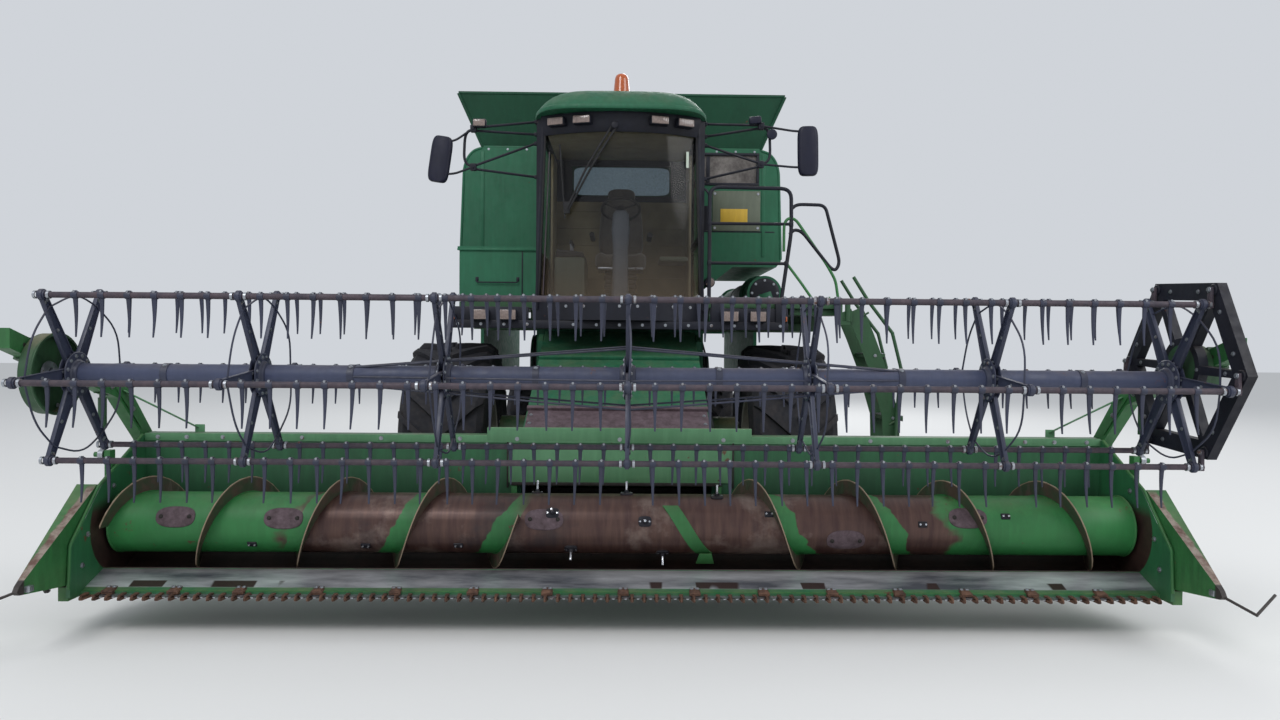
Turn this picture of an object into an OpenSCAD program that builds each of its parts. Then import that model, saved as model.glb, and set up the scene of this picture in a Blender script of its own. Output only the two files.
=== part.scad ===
// Self-propelled combine harvester with a rigid grain header, millimetres.
// The machine faces -Y, its left-hand side is +X, and it stands on z = 0.

/* [Front wheels] */
// Height of the front axle line above the ground
front_r = 910; // [820:5:960]
// Section width of a front tyre
front_tyre_w = 775; // [600:5:800]
// Distance between the centre planes of the front tyres
front_track = 3110; // [3000:10:3200]
// Place of the front axle along the machine
front_axle_y = -940; // [-1000:10:-900]
// Radius of the front rims under the bead
front_rim_r = 406; // [350:1:420]
// Lugs on each half of a front tyre
front_lugs = 20; // [14:1:24]

/* [Rear wheels] */
// Height of the rear axle line above the ground
rear_r = 665; // [600:5:700]
// Section width of a rear tyre
rear_tyre_w = 430; // [360:5:450]
// Distance between the centre planes of the rear tyres
rear_track = 2600; // [2540:10:2700]
// Distance between the axles
wheelbase = 3550; // [3500:10:3650]
// Radius of the rear rims under the bead
rear_rim_r = 305; // [250:1:320]
// Lugs on each half of a rear tyre
rear_lugs = 18; // [12:1:22]
// Height of the tyre lugs
lug_h = 42; // [25:1:55]
// Width of a tyre lug
lug_w = 46; // [30:1:60]

/* [Body] */
// Half width of the threshing body
body_hw = 800; // [760:5:820]
// Underside of the threshing body
body_z0 = 1100; // [1080:5:1130]
// Top deck of the threshing body
body_z1 = 2150; // [2140:5:2160]
// Front wall of the threshing body
body_y0 = -950; // [-960:5:-930]
// Rear edge of the straight part of the body
body_y1 = 3900; // [3800:10:3950]
// Thickness of the body's walls
body_wall = 30; // [15:1:40]
// Rearmost point of the straw hood
hood_y1 = 4500; // [4420:10:4560]
// Height of the straw hood above the deck
hood_h = 420; // [350:10:480]
// Thickness of the side shields
shield_t = 30; // [15:1:40]
// Distance from the centre plane to a shield's inner face
shield_x = 1480; // [1440:5:1500]

/* [Grain tank] */
// Front face of the grain tank
tank_y0 = -100; // [-110:5:-80]
// Length of the grain tank
tank_len = 2050; // [1950:10:2090]
// Half width of the tank at its belly
tank_hw = 1690; // [1660:5:1700]
// Height of the tank's shoulder
tank_z1 = 3870; // [3780:10:3900]
// Thickness of the tank's walls
tank_wall = 40; // [20:1:50]
// Height of the flared extension
ext_h = 540; // [400:10:650]
// How far the extension's sides lean out
ext_flare = 220; // [180:5:250]
// Thickness of the extension's sheets
ext_t = 22; // [12:1:30]

/* [Unloading auger] */
// Radius of the unloading tube
unload_r = 185; // [150:5:195]
// Length of the unloading tube from its pivot
unload_len = 4666; // [4500:2:4670]
// Sideways place of the turret
turret_x = 1530; // [1520:5:1560]
// Height of the turret's centre
turret_z = 2370; // [2360:5:2390]
// Lean of the swing axis, so that the tube rises as it swings out
turret_lean = 18; // [10:1:22]

/* [Cab] */
// Half width of the cab
cab_hw = 745; // [700:5:745]
// Top of the cab floor
cab_z0 = 2080; // [2060:5:2100]
// Underside of the roof
cab_z1 = 3790; // [3700:5:3820]
// Most forward point of the windscreen
cab_y0 = -1850; // [-1900:10:-1800]
// Rear wall of the cab
cab_y1 = -110; // [-120:5:-105]
// Radius of the windscreen in plan
screen_r = 1200; // [1100:10:1500]
// Thickness of the cab posts and panels
cab_wall = 45; // [30:1:60]
// Thickness of the glass
glass_t = 8; // [5:1:12]
// Height of the roof dome
roof_h = 330; // [280:5:350]

/* [Platform and ladder] */
// Outer edge of the platform
deck_x1 = 1960; // [1900:10:1980]
// Front edge of the platform
deck_y0 = -1700; // [-1740:10:-1680]
// Walking height of the platform
deck_z = 2190; // [2170:5:2200]
// Height of the front railing above the platform
rail_h = 1010; // [900:10:1080]
// Radius of the handrail tube
rail_r = 17; // [12:1:22]
// Treads on the ladder
treads = 5; // [4:1:6]

/* [Feeder house] */
// Half width of the feeder house
feeder_hw = 700; // [650:5:720]
// Height of the header pivot
lift_z = 1780; // [1770:5:1790]
// Place of the header pivot along the machine
lift_y = -1250; // [-1260:5:-1240]
// Wall of the feeder house
feeder_wall = 25; // [12:1:35]

/* [Header] */
// Sideways offset of the header on the feeder house
header_x = 70; // [0:5:100]
// Half width between the end sheets
header_hw = 3360; // [3300:5:3370]
// Height of the cutterbar above the ground
knife_z = 262; // [240:2:300]
// Place of the cutterbar's front edge
knife_y = -3970; // [-3990:5:-3960]
// Pitch of the guards
guard_pitch = 76.2; // [70:0.1:80]
// Length of a guard in front of the bar
guard_len = 95; // [60:1:110]
// Thickness of the header's sheets
sheet_t = 12; // [6:1:16]
// Front face of the header's back sheet
back_y = -3230; // [-3235:1:-3225]
// Top of the header's back sheet
back_z = 1165; // [1120:5:1180]
// Top of the opening into the feeder house
mouth_z = 830; // [780:5:1040]

/* [Cross auger] */
// Place of the auger's axis along the machine
auger_y = -3550; // [-3555:1:-3545]
// Height of the auger's axis
auger_z = 613; // [608:1:620]
// Radius of the auger tube
auger_r = 197; // [180:1:205]
// Radius of the flighting
flight_r = 300; // [285:1:305]
// Pitch of the flighting
flight_pitch = 650; // [550:10:750]
// Thickness of the flighting, along the auger
flight_t = 7; // [4:0.5:12]
// Turn of the flighting as the auger is parked
flight_turn = 94; // [0:1:180]
// Half length of the bare centre with the fingers
finger_hw = 690; // [600:10:750]

/* [Reel] */
// Place of the reel's axis along the machine
reel_y = -4237; // [-4250:1:-4225]
// Height of the reel's axis
reel_z = 1614; // [1605:1:1620]
// Radius from the reel's axis to the bats
reel_r = 533; // [500:1:540]
// Radius of the reel's centre tube
core_r = 62; // [50:1:75]
// Radius of a bat tube
bat_r = 17; // [14:0.5:20]
// Length of a tine below its bat
tine_len = 232; // [200:2:245]
// Distance between the tines
tine_pitch = 145; // [120:1:160]
// Turn of the reel as it is parked
reel_turn = -3.3; // [-10:0.1:10]
// Height of the cam ring's centre above the reel's axis
cam_up = 85; // [60:1:95]
// Width of a reel arm
arm_w = 80; // [60:1:90]
// Depth of a reel arm
arm_h = 106; // [80:1:110]

/* [Hitch] */
// Radius of the rear hitch pin hole
hitch_r = 16; // [12:0.5:20]
// Thickness of the rear hitch plate
hitch_t = 40; // [25:1:50]

/* [Hidden] */
rear_axle_y = front_axle_y + wheelbase;
// Clearance of a running fit, and the gap where one body runs past another
fit = 0.3;
gap = 6;
bats = 6;
spiders = 7;
bat_hw = header_hw - 110;
spider_x = [for (i = [0 : spiders - 1]) header_x + (i - 3) * (header_hw - 135) / 3];
ext_hw1 = tank_hw;
ext_hw0 = tank_hw - ext_flare;
arm_off = 90;
arm_xl = header_x - header_hw - arm_off;
arm_xr = header_x + header_hw + arm_off;
arm_slope = 18;
arm_pivot = [-3090, 1113];
arm_knee = [-3410, 1459];
arm_tip_y = -4520;
reel_pin = [-3590, 1500];
reel_eye = [-3590, 1060];
lift_pin = [-1200, 620];
lift_eye = [-2550, 600];
lift_x = 520;
kingpin_x = 960;
tie_y = 190;
trough_r = flight_r + 20;
turret_y = 120;
hitch_y = 4360;
hood_z1 = body_z1 + hood_h;
shield_y0 = 400;
shield_y1 = 3350;
shield_z1 = 2060;
hinge_z = shield_z1 + 24;
beam_z0 = cab_z0 - 130;
green = "#1f7a38";
dark_green = "#14522a";
black = "#22242b";
rubber = "#1b1b1d";
steel = "#9a9da2";
rust = "#6b4a3d";
$fn = 48;

function arc(c, r, a0, a1, n) = [for (i = [0 : n])
    let (a = a0 + (a1 - a0) * i / n) [c[0] + r * cos(a), c[1] + r * sin(a)]];
function arm_z(y) = arm_knee[1] + (arm_knee[0] - y) * tan(arm_slope);
function bat_angle(i) = 180 - reel_turn + i * 360 / bats;
function bat_at(i) = [reel_y + reel_r * cos(bat_angle(i)), reel_z + reel_r * sin(bat_angle(i))];

// One side of a bent strip, w / 2 away from its middle line
function strip_side(pts, w) = [for (i = [0 : len(pts) - 1])
    let (v = pts[min(i + 1, len(pts) - 1)] - pts[max(i - 1, 0)]) pts[i] + [-v[1], v[0]] * w / 2 / norm(v)];
function backward(pts) = [for (i = [len(pts) - 1 : -1 : 0]) pts[i]];
function strip(pts, w) = concat(strip_side(pts, w), backward(strip_side(pts, -w)));

// An outline in the YZ plane, drawn out along X from x0
module slab(x0, w, pts) {
    translate([x0, 0, 0]) rotate([90, 0, 90]) linear_extrude(w) polygon(pts);
}

// An outline in the XZ plane, drawn out along Y from y0
module front_slab(y0, d, pts) {
    translate([0, y0 + d, 0]) rotate([90, 0, 0]) linear_extrude(d) polygon(pts);
}

module box(lo, hi) {
    translate(lo) cube(hi - lo);
}

module xcyl(x0, x1, y, z, r) {
    translate([x0, y, z]) rotate([0, 90, 0]) cylinder(h = x1 - x0, r = r);
}

module ycyl(y0, y1, x, z, r) {
    translate([x, y0, z]) rotate([-90, 0, 0]) cylinder(h = y1 - y0, r = r);
}

// A round rod from a to b
module rod(a, b, r) {
    v = b - a;
    len = norm(v);
    translate(a) rotate([0, acos(v[2] / len), atan2(v[1], v[0])]) cylinder(h = len, r = r);
}

// A tube run through a list of points, with a ball at each corner
module run(pts, r) {
    for (i = [0 : len(pts) - 2]) rod(pts[i], pts[i + 1], r);
    for (i = [1 : len(pts) - 2]) translate(pts[i]) sphere(r = 1.08 * r, $fn = 24);
}

// A flat bar in the YZ plane from a to b
module yz_bar(x0, w, a, b, h) {
    v = b - a;
    len = norm(v);
    translate([x0, a[0], a[1]]) rotate([atan2(v[1], v[0]), 0, 0])
        translate([0, 0, -h / 2]) cube([w, len, h]);
}

module mirror_both() {
    children();
    mirror([1, 0, 0]) children();
}

module header_both() {
    translate([header_x, 0, 0]) mirror_both() children();
}

// Wheels, modelled along Z and laid on their axles

module tyre_ring(r, w, rim_r) {
    body_r = r - lug_h;
    side = rim_r + 0.48 * (body_r - rim_r);
    rotate_extrude($fn = 96) polygon([[rim_r, -w / 2 + 60], [rim_r + 40, -w / 2 + 42], [side, -w / 2],
        [body_r - 70, -w / 2 + 18], [body_r - 22, -w / 2 + 70], [body_r, 0], [body_r - 22, w / 2 - 70],
        [body_r - 70, w / 2 - 18], [side, w / 2], [rim_r + 40, w / 2 - 42], [rim_r, w / 2 - 60]]);
}

module tyre_lugs(r, w, n, flip) {
    intersection() {
        rotate_extrude($fn = 96) polygon([[r - 3 * lug_h, -w / 2 + 22], [r - 1.4 * lug_h, -w / 2 + 22],
            [r - 10, -w / 2 + 80], [r, 0], [r - 10, w / 2 - 80], [r - 1.4 * lug_h, w / 2 - 22],
            [r - 3 * lug_h, w / 2 - 22]]);
        for (i = [0 : n - 1], s = [-1, 1])
            rotate([0, 0, (i + (s > 0 ? 0.5 : 0)) * 360 / n])
                translate([r - lug_h, 0, s * (w / 4 + 4)]) rotate([flip * s * 42, 0, 0])
                    cube([3 * lug_h, lug_w, w / 2 / cos(42) - 40], center = true);
    }
}

module tyre(r, w, rim_r, n, flip) {
    color(rubber) union() {
        tyre_ring(r, w, rim_r);
        tyre_lugs(r, w, n, flip);
    }
}

// A rim with its dished disc, its flange rings and its hub with a bore
module rim(w, rim_r, hub_r, disc_z) {
    color("#d8c21c") rotate_extrude($fn = 96) polygon([[hub_r, disc_z - 90], [hub_r + 60, disc_z - 90],
        [hub_r + 60, disc_z - 12], [rim_r - 60, disc_z - 12], [rim_r - 30, disc_z - 60], [rim_r - 30, -w / 2 + 70],
        [rim_r - fit, -w / 2 + 62], [rim_r - fit, w / 2 - 62], [rim_r - 30, w / 2 - 70],
        [rim_r - 30, disc_z + 20], [rim_r - 60, disc_z + 12], [hub_r + 60, disc_z + 12],
        [hub_r + 60, disc_z + 50], [hub_r, disc_z + 50]]);
}

module front_at(s) {
    translate([s * front_track / 2, front_axle_y, front_r]) rotate([0, s * 90, 0]) children();
}

module rear_at(s) {
    translate([s * rear_track / 2, rear_axle_y, rear_r]) rotate([0, s * 90, 0]) children();
}

spindle_r = 80;
rear_spindle_r = 42;
front_disc_z = 60;
rear_disc_z = 20;

module front_tyre(s) {
    front_at(s) tyre(front_r, front_tyre_w, front_rim_r, front_lugs, s);
}

module rear_tyre(s) {
    rear_at(s) tyre(rear_r, rear_tyre_w, rear_rim_r, rear_lugs, s);
}

module front_rim(s) {
    front_at(s) rim(front_tyre_w, front_rim_r, spindle_r + fit, front_disc_z);
}

module rear_rim(s) {
    rear_at(s) rim(rear_tyre_w, rear_rim_r, rear_spindle_r + fit, rear_disc_z);
}

// Chassis and axles

module chassis_frame() {
    rail_x0 = 560;
    rail_x1 = 680;
    rail_z0 = body_z0 - 120;
    color(dark_green) difference() {
        union() {
            mirror_both() box([rail_x0, body_y0 - 60, rail_z0], [rail_x1, body_y1, body_z0]);
            for (y = [body_y0 - 60, 500, 1900, body_y1 - 120])
                box([-rail_x0, y, rail_z0 + 10], [rail_x0, y + 120, body_z0]);
            box([-90, body_y1 - 200, 560], [90, hitch_y + 80, 560 + hitch_t]);
            for (x = [-90, 70])
                slab(x, 20, [[body_y1 - 200, 570], [body_y1 + 60, 590], [body_y1 - 40, rail_z0 + 20],
                    [body_y1 - 110, rail_z0 + 20]]);
        }
        translate([0, hitch_y, 500]) cylinder(h = 200, r = hitch_r);
    }
}

module front_axle() {
    beam_z = body_z0 - 120;
    color(dark_green) difference() {
        union() {
            box([-1060, front_axle_y - 120, beam_z - 190], [1060, front_axle_y + 120, beam_z]);
            mirror_both() {
                xcyl(900, 1130, front_axle_y, front_r, 210);
                xcyl(1130, front_track / 2 + front_disc_z + 45, front_axle_y, front_r, spindle_r);
                for (dx = [-62, 34])
                    slab(lift_x + dx, 28, [[front_axle_y - 120, 800], [front_axle_y - 120, 960],
                        [lift_pin[0] - 30, lift_pin[1] + 60], [lift_pin[0] - 60, lift_pin[1] - 60],
                        [lift_pin[0] + 60, lift_pin[1] - 60]]);
                xcyl(lift_x - 62, lift_x + 62, lift_pin[0], lift_pin[1], 24);
            }
        }
    }
}

module rear_axle() {
    z = rear_r;
    color(dark_green) difference() {
        union() {
            box([-kingpin_x + 60, rear_axle_y - 80, z - 80], [kingpin_x - 60, rear_axle_y + 80, z + 80]);
            mirror_both() translate([kingpin_x, rear_axle_y, z - 80]) cylinder(h = 160, r = 75);
            for (y = [rear_axle_y - 180, rear_axle_y + 130])
                front_slab(y, 50, [[-620, body_z0 - 120], [620, body_z0 - 120], [560, z + 180],
                    [130, z - 40], [-130, z - 40], [-560, z + 180]]);
            ycyl(rear_axle_y - 185, rear_axle_y + 185, 0, z, 55);
        }
        mirror_both() translate([kingpin_x, rear_axle_y, z - 100]) cylinder(h = 200, r = 32 + fit);
    }
}

module knuckle(s) {
    z = rear_r;
    color(black) translate([s * kingpin_x, rear_axle_y, 0]) {
        translate([0, 0, z - 130]) cylinder(h = 260, r = 32);
        for (dz = [-130, 80 + fit]) translate([0, 0, z + dz]) cylinder(h = 50 - fit, r = 72);
        mirror([s < 0 ? 1 : 0, 0, 0]) {
            for (dz = [-130, 80 + fit]) box([0, -60, z + dz], [100, 60, z + dz + 50 - fit]);
            box([82, -70, z - 130], [122, 70, z + 130]);
            xcyl(120, rear_track / 2 - kingpin_x + rear_disc_z + 45, 0, z, rear_spindle_r);
            box([-20, 60, z - 130], [20, tie_y, z - 96]);
            translate([0, tie_y, z - 130]) cylinder(h = 34, r = 30);
            translate([0, tie_y, z - 97]) cylinder(h = 50, r = 13);
        }
    }
}

module tie_rod() {
    y = rear_axle_y + tie_y - 9;
    z = rear_r - 80 + fit;
    color(steel) difference() {
        union() {
            xcyl(-kingpin_x + 30, kingpin_x - 30, y, z, 16);
            mirror_both() translate([kingpin_x, y, z - 16]) cylinder(h = 32, r = 42);
        }
        mirror_both() translate([kingpin_x, y, z - 30]) cylinder(h = 60, r = 27);
    }
}

// Threshing body and straw hood

module pulley(s, y, z, r, w) {
    xcyl(s > 0 ? body_hw - 5 : -body_hw - w - 110, s > 0 ? body_hw + w + 110 : -body_hw + 5, y, z, 32);
    xcyl(s > 0 ? body_hw + 100 : -body_hw - w - 100, s > 0 ? body_hw + 100 + w : -body_hw - 100, y, z, r);
}

module separator_body() {
    color(green) union() {
        difference() {
            slab(-body_hw, 2 * body_hw, [[body_y0, body_z0 + 180], [body_y0 + 120, body_z0], [body_y1, body_z0],
                [body_y1, body_z1], [tank_y0, body_z1], [tank_y0, beam_z0], [body_y0, beam_z0]]);
            slab(-body_hw + body_wall, 2 * (body_hw - body_wall), [[body_y0 + body_wall, body_z0 + 190],
                [body_y0 + 140, body_z0 + body_wall], [body_y1 + 1, body_z0 + body_wall],
                [body_y1 + 1, body_z1 - body_wall], [tank_y0 + body_wall, body_z1 - body_wall],
                [tank_y0 + body_wall, beam_z0 - body_wall], [body_y0 + body_wall, beam_z0 - body_wall]]);
            box([-620, body_y0 - 1, 1300], [620, body_y0 + body_wall + 1, 1880]);
        }
        // Cheeks that carry the feeder house's trunnions
        mirror_both() difference() {
            slab(feeder_hw + gap, 44, [[body_y0 + 5, 1400], [lift_y - 80, lift_z - 60], [lift_y - 80, lift_z + 60],
                [lift_y + 60, lift_z + 120], [body_y0 + 5, lift_z + 120]]);
            xcyl(feeder_hw, feeder_hw + 60, lift_y, lift_z, 45 + fit);
        }
        // Brackets and pins that the side shields hang on
        for (s = [-1, 1], y = [shield_y0 + 200, shield_y1 - 400]) {
            x = s * (shield_x + shield_t / 2);
            box([min(s * (body_hw - 5), x + s * 12), y - 50, hinge_z - 12],
                [max(s * (body_hw - 5), x + s * 12), y - 6, hinge_z + 16]);
            ycyl(y - 10, y + 126, x, hinge_z, 10);
        }
        for (p = [[1, 500, 1450, 260, 70], [1, 1200, 1750, 180, 60], [1, 2300, 1700, 240, 60],
            [-1, 500, 1600, 300, 80], [-1, 1300, 1350, 150, 60], [-1, 2600, 1750, 200, 60]])
            pulley(p[0], p[1], p[2], p[3], p[4]);
        // Saddle that the folded unloading tube rests on
        box([body_hw - 5, 3420, 1980], [turret_x + 60, 3480, 2060]);
        box([turret_x - 120, 3420, 2060], [turret_x + 120, 3480, turret_z - unload_r - 2]);
    }
}

module rear_hood() {
    t = body_wall;
    outer = [[body_y1 - 900, body_z1], [body_y1 - 900, hood_z1], [hood_y1 - 700, hood_z1 - 30],
        [hood_y1 - 180, body_z1 + 180], [hood_y1, body_z1 - 500], [hood_y1 - 60, body_z0 + 230],
        [body_y1, body_z0 + 230], [body_y1, body_z1]];
    color(green) difference() {
        slab(-body_hw, 2 * body_hw, outer);
        slab(-body_hw + t, 2 * (body_hw - t), [[body_y1 - 900 + t, body_z1 + t], [body_y1 - 900 + t, hood_z1 - t],
            [hood_y1 - 715, hood_z1 - 30 - t], [hood_y1 - 205, body_z1 + 165], [hood_y1 - t, body_z1 - 505],
            [hood_y1 - 60 - t, body_z0 + 229], [body_y1 - 1, body_z0 + 229], [body_y1 - 1, body_z1 + t]]);
    }
}

module chopper_housing() {
    t = 20;
    y0 = body_y1;
    y1 = hood_y1 - 90;
    color(dark_green) difference() {
        slab(-body_hw + 60, 2 * body_hw - 120, [[y0, body_z0 + 230], [y0, body_z0 - 200],
            [y0 + 120, body_z0 - 300], [y1, body_z0 - 120], [y1, body_z0 + 230]]);
        slab(-body_hw + 60 + t, 2 * body_hw - 120 - 2 * t, [[y0 + t, body_z0 + 231], [y0 + t, body_z0 - 190],
            [y0 + 125, body_z0 - 275], [y1 + 1, body_z0 - 95], [y1 + 1, body_z0 + 231]]);
    }
    // Ears that the tailboard's pins turn in
    color(dark_green) mirror_both() difference() {
        slab(724, 15.5, [[y1, 1230], [y1, 1328], [y1 + 62, 1328], [y1 + 62, 1255]]);
        xcyl(700, 760, y1 + gap + 22, body_z0 + 190, 16 + fit);
    }
}

module tailboard() {
    y = hood_y1 - 90 + gap;
    z = body_z0 + 190;
    color(dark_green) {
        for (s = [-1, 1]) xcyl(s * (body_hw - 80) - 35, s * (body_hw - 80) + 35, y + 22, z, 16);
        translate([0, y + 22, z]) rotate([38, 0, 0])
            translate([-body_hw + 90, -8, -500]) cube([2 * body_hw - 180, 16, 485]);
        for (s = [-1, 1]) translate([0, y + 22, z]) rotate([38, 0, 0])
            translate([s * (body_hw - 90) - 12, -14, -500]) cube([24, 28, 505]);
    }
}

// Grain tank

function tank_left() = [[tank_hw - 510, 2640], [tank_hw - 50, 2640], [tank_hw, 2700], [tank_hw, 2900],
    [tank_hw - 30, tank_z1 - 220], [tank_hw - 60, tank_z1 - 110], [tank_hw - 130, tank_z1 - 30],
    [tank_hw - 220, tank_z1]];
function tank_right() = [[-tank_hw + 220, tank_z1], [-tank_hw + 130, tank_z1 - 30],
    [-tank_hw + 60, tank_z1 - 110], [-tank_hw + 30, tank_z1 - 220], [-tank_hw, 2750], [-tank_hw, 2400],
    [-tank_hw + 60, body_z1 + 15]];

module grain_tank() {
    w = tank_wall;
    y1 = tank_y0 + tank_len;
    open_hw = ext_hw0 - 40;
    color(green) difference() {
        front_slab(tank_y0, tank_len, concat([[-560, body_z1], [560, body_z1]], tank_left(), tank_right(),
            [[-tank_hw + 100, body_z1 + 15], [-tank_hw + 70, 2560]]));
        front_slab(tank_y0 + w, tank_len - 2 * w, [[-300, body_z1 + w + 20], [300, body_z1 + w + 20],
            [tank_hw - 490, 2690], [tank_hw - w, 2760], [tank_hw - w, 2900], [tank_hw - 30 - w, tank_z1 - 225],
            [tank_hw - 58 - w, tank_z1 - 125], [tank_hw - 140 - w, tank_z1 - 50], [open_hw, tank_z1 - w],
            [open_hw, tank_z1 + 1], [-open_hw, tank_z1 + 1], [-open_hw, tank_z1 - w],
            [-tank_hw + 140 + w, tank_z1 - 50], [-tank_hw + 58 + w, tank_z1 - 125],
            [-tank_hw + 30 + w, tank_z1 - 225], [-tank_hw + w, 2760]]);
        box([cab_hw + 115, tank_y0 - 1, tank_z1 - 350], [cab_hw + 680, tank_y0 + w + 1, tank_z1 - 55]);
    }
    color(black) box([cab_hw + 115 + fit, tank_y0 + 14, tank_z1 - 350 + fit],
        [cab_hw + 680 - fit, tank_y0 + 24, tank_z1 - 55 - fit]);
}

module tank_extension() {
    y0 = tank_y0 + 60;
    y1 = tank_y0 + tank_len - 60;
    flare = ext_hw1 - ext_hw0;
    color(green) difference() {
        hull() {
            box([-ext_hw0, y0, tank_z1], [ext_hw0, y1, tank_z1 + 1]);
            box([-ext_hw1, y0 - flare, tank_z1 + ext_h - 1], [ext_hw1, y1 + flare, tank_z1 + ext_h]);
        }
        hull() {
            box([-ext_hw0 + ext_t, y0 + ext_t, tank_z1 - 1], [ext_hw0 - ext_t, y1 - ext_t, tank_z1]);
            box([-ext_hw1 + ext_t, y0 - flare + ext_t, tank_z1 + ext_h],
                [ext_hw1 - ext_t, y1 + flare - ext_t, tank_z1 + ext_h + 1]);
        }
    }
}

module engine() {
    color("#3a3a3a") box([-420, 2080, body_z1], [420, 2880, body_z1 + 780]);
}

screen_y = 2480;
screen_z = body_z1 + 560;
screen_hub_r = 25;

module engine_hood() {
    t = 25;
    x1 = 900;
    y0 = tank_y0 + tank_len + 40;
    y1 = body_y1 - 900;
    z1 = body_z1 + 1080;
    color(green) union() {
        difference() {
            front_slab(y0, y1 - y0, [[-x1, body_z1], [x1, body_z1], [x1, z1 - 120], [x1 - 120, z1],
                [-x1 + 120, z1], [-x1, z1 - 120]]);
            front_slab(y0 + t, y1 - y0 - 2 * t, [[-x1 + t, body_z1 - 1], [x1 - t, body_z1 - 1],
                [x1 - t, z1 - 130], [x1 - 130, z1 - t], [-x1 + 130, z1 - t], [-x1 + t, z1 - 130]]);
            xcyl(-x1 - 1, -x1 + t + 1, screen_y, screen_z, 350);
        }
        difference() {
            union() {
                box([-x1, screen_y - 30, screen_z - 352], [-x1 + t, screen_y + 30, screen_z + 352]);
                xcyl(-x1, -x1 + t, screen_y, screen_z, 70);
            }
            xcyl(-x1 - 1, -x1 + t + 1, screen_y, screen_z, screen_hub_r + fit);
        }
        // Exhaust stack
        translate([520, 2700, z1 - 10]) cylinder(h = 560, r = 62);
    }
}

module rotary_screen() {
    color(black) union() {
        difference() {
            xcyl(-990, -900 - gap, screen_y, screen_z, 400);
            xcyl(-978, -900, screen_y, screen_z, 388);
        }
        xcyl(-990, -860, screen_y, screen_z, screen_hub_r);
    }
}

// Turret and unloading tube; the elbow turns on the leaning base

module at_turret() {
    translate([turret_x, turret_y, turret_z]) rotate([0, 180 - turret_lean, 0]) children();
}

module unloader_turret() {
    color(dark_green) union() {
        at_turret() translate([0, 0, unload_r + 30 + fit]) cylinder(h = 40, r = unload_r + 10);
        box([body_hw, turret_y - 70, body_z1 - 130], [turret_x + 60, turret_y + 70, body_z1 - 70]);
    }
}

module unloading_auger() {
    y1 = turret_y + unload_len;
    color(green) union() {
        difference() {
            ycyl(turret_y - 160, y1, turret_x, turret_z, unload_r);
            ycyl(turret_y + 200, y1 - 40, turret_x, turret_z, unload_r - 12);
            box([turret_x - 140, y1 - 360, turret_z - unload_r - 100], [turret_x + 140, y1 - 60, turret_z]);
        }
        at_turret() cylinder(h = unload_r + 30, r = unload_r);
        difference() {
            box([turret_x - 170, y1 - 390, turret_z - unload_r - 60], [turret_x + 170, y1 - 30, turret_z - 100]);
            box([turret_x - 150, y1 - 370, turret_z - unload_r - 61], [turret_x + 150, y1 - 50, turret_z + 100]);
            ycyl(y1 - 400, y1, turret_x, turret_z, unload_r - 12);
        }
    }
}

// Side shields, hung from their top edges

module shield(s, y0) {
    x = s > 0 ? shield_x : -shield_x - shield_t;
    hinge_x = s * (shield_x + shield_t / 2);
    color(green) union() {
        for (y = [shield_y0 + 200, shield_y1 - 400]) difference() {
            union() {
                ycyl(y, y + 120, hinge_x, hinge_z, 20);
                box([hinge_x - 11, y, shield_z1 - 5], [hinge_x + 11, y + 120, hinge_z]);
            }
            ycyl(y - 1, y + 121, hinge_x, hinge_z, 10 + fit);
        }
        slab(x, shield_t, [[y0, 1080], [y0 + 60, 1000], [1640, 1000], [1800, 1420], [shield_y1 - 60, 1420],
            [shield_y1, 1500], [shield_y1, shield_z1], [y0, shield_z1]]);
        xcyl(s > 0 ? x - 20 : x + shield_t, s > 0 ? x : x + shield_t + 20, 1700, 1300, 40);
    }
}

module shield_left() {
    shield(1, shield_y0);
}

module shield_right() {
    shield(-1, 150);
}

// Cab

beacon_y = -1350;
screen_c = [0, cab_y0 + screen_r];
cab_front = cab_y0 + screen_r - sqrt(screen_r * screen_r - cab_hw * cab_hw);
screen_top_hw = 655;
screen_bot_hw = 712;
screen_z0 = cab_z0 + 110;
screen_z1 = cab_z1 - 75;
rear_win_hw = 520;
rear_win_z0 = cab_z1 - 430;
rear_win_z1 = cab_z1 - 110;
door_y0 = cab_front + 70;
door_y1 = cab_y1 - 120;
sill_z = deck_z + 5;
door_hinge_z = [sill_z + 250, cab_z1 - 300];

module screen_shell(t, inset) {
    difference() {
        translate([screen_c[0], screen_c[1], cab_z0 - 60]) cylinder(h = 2500, r = screen_r - inset, $fn = 96);
        translate([screen_c[0], screen_c[1], cab_z0 - 61]) cylinder(h = 2502, r = screen_r - inset - t, $fn = 96);
    }
}

module screen_outline(d) {
    front_slab(cab_y0 - 10, 700, [[-screen_bot_hw - d, screen_z0 - d], [screen_bot_hw + d, screen_z0 - d],
        [screen_top_hw + d, screen_z1 + d], [-screen_top_hw - d, screen_z1 + d]]);
}

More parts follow.
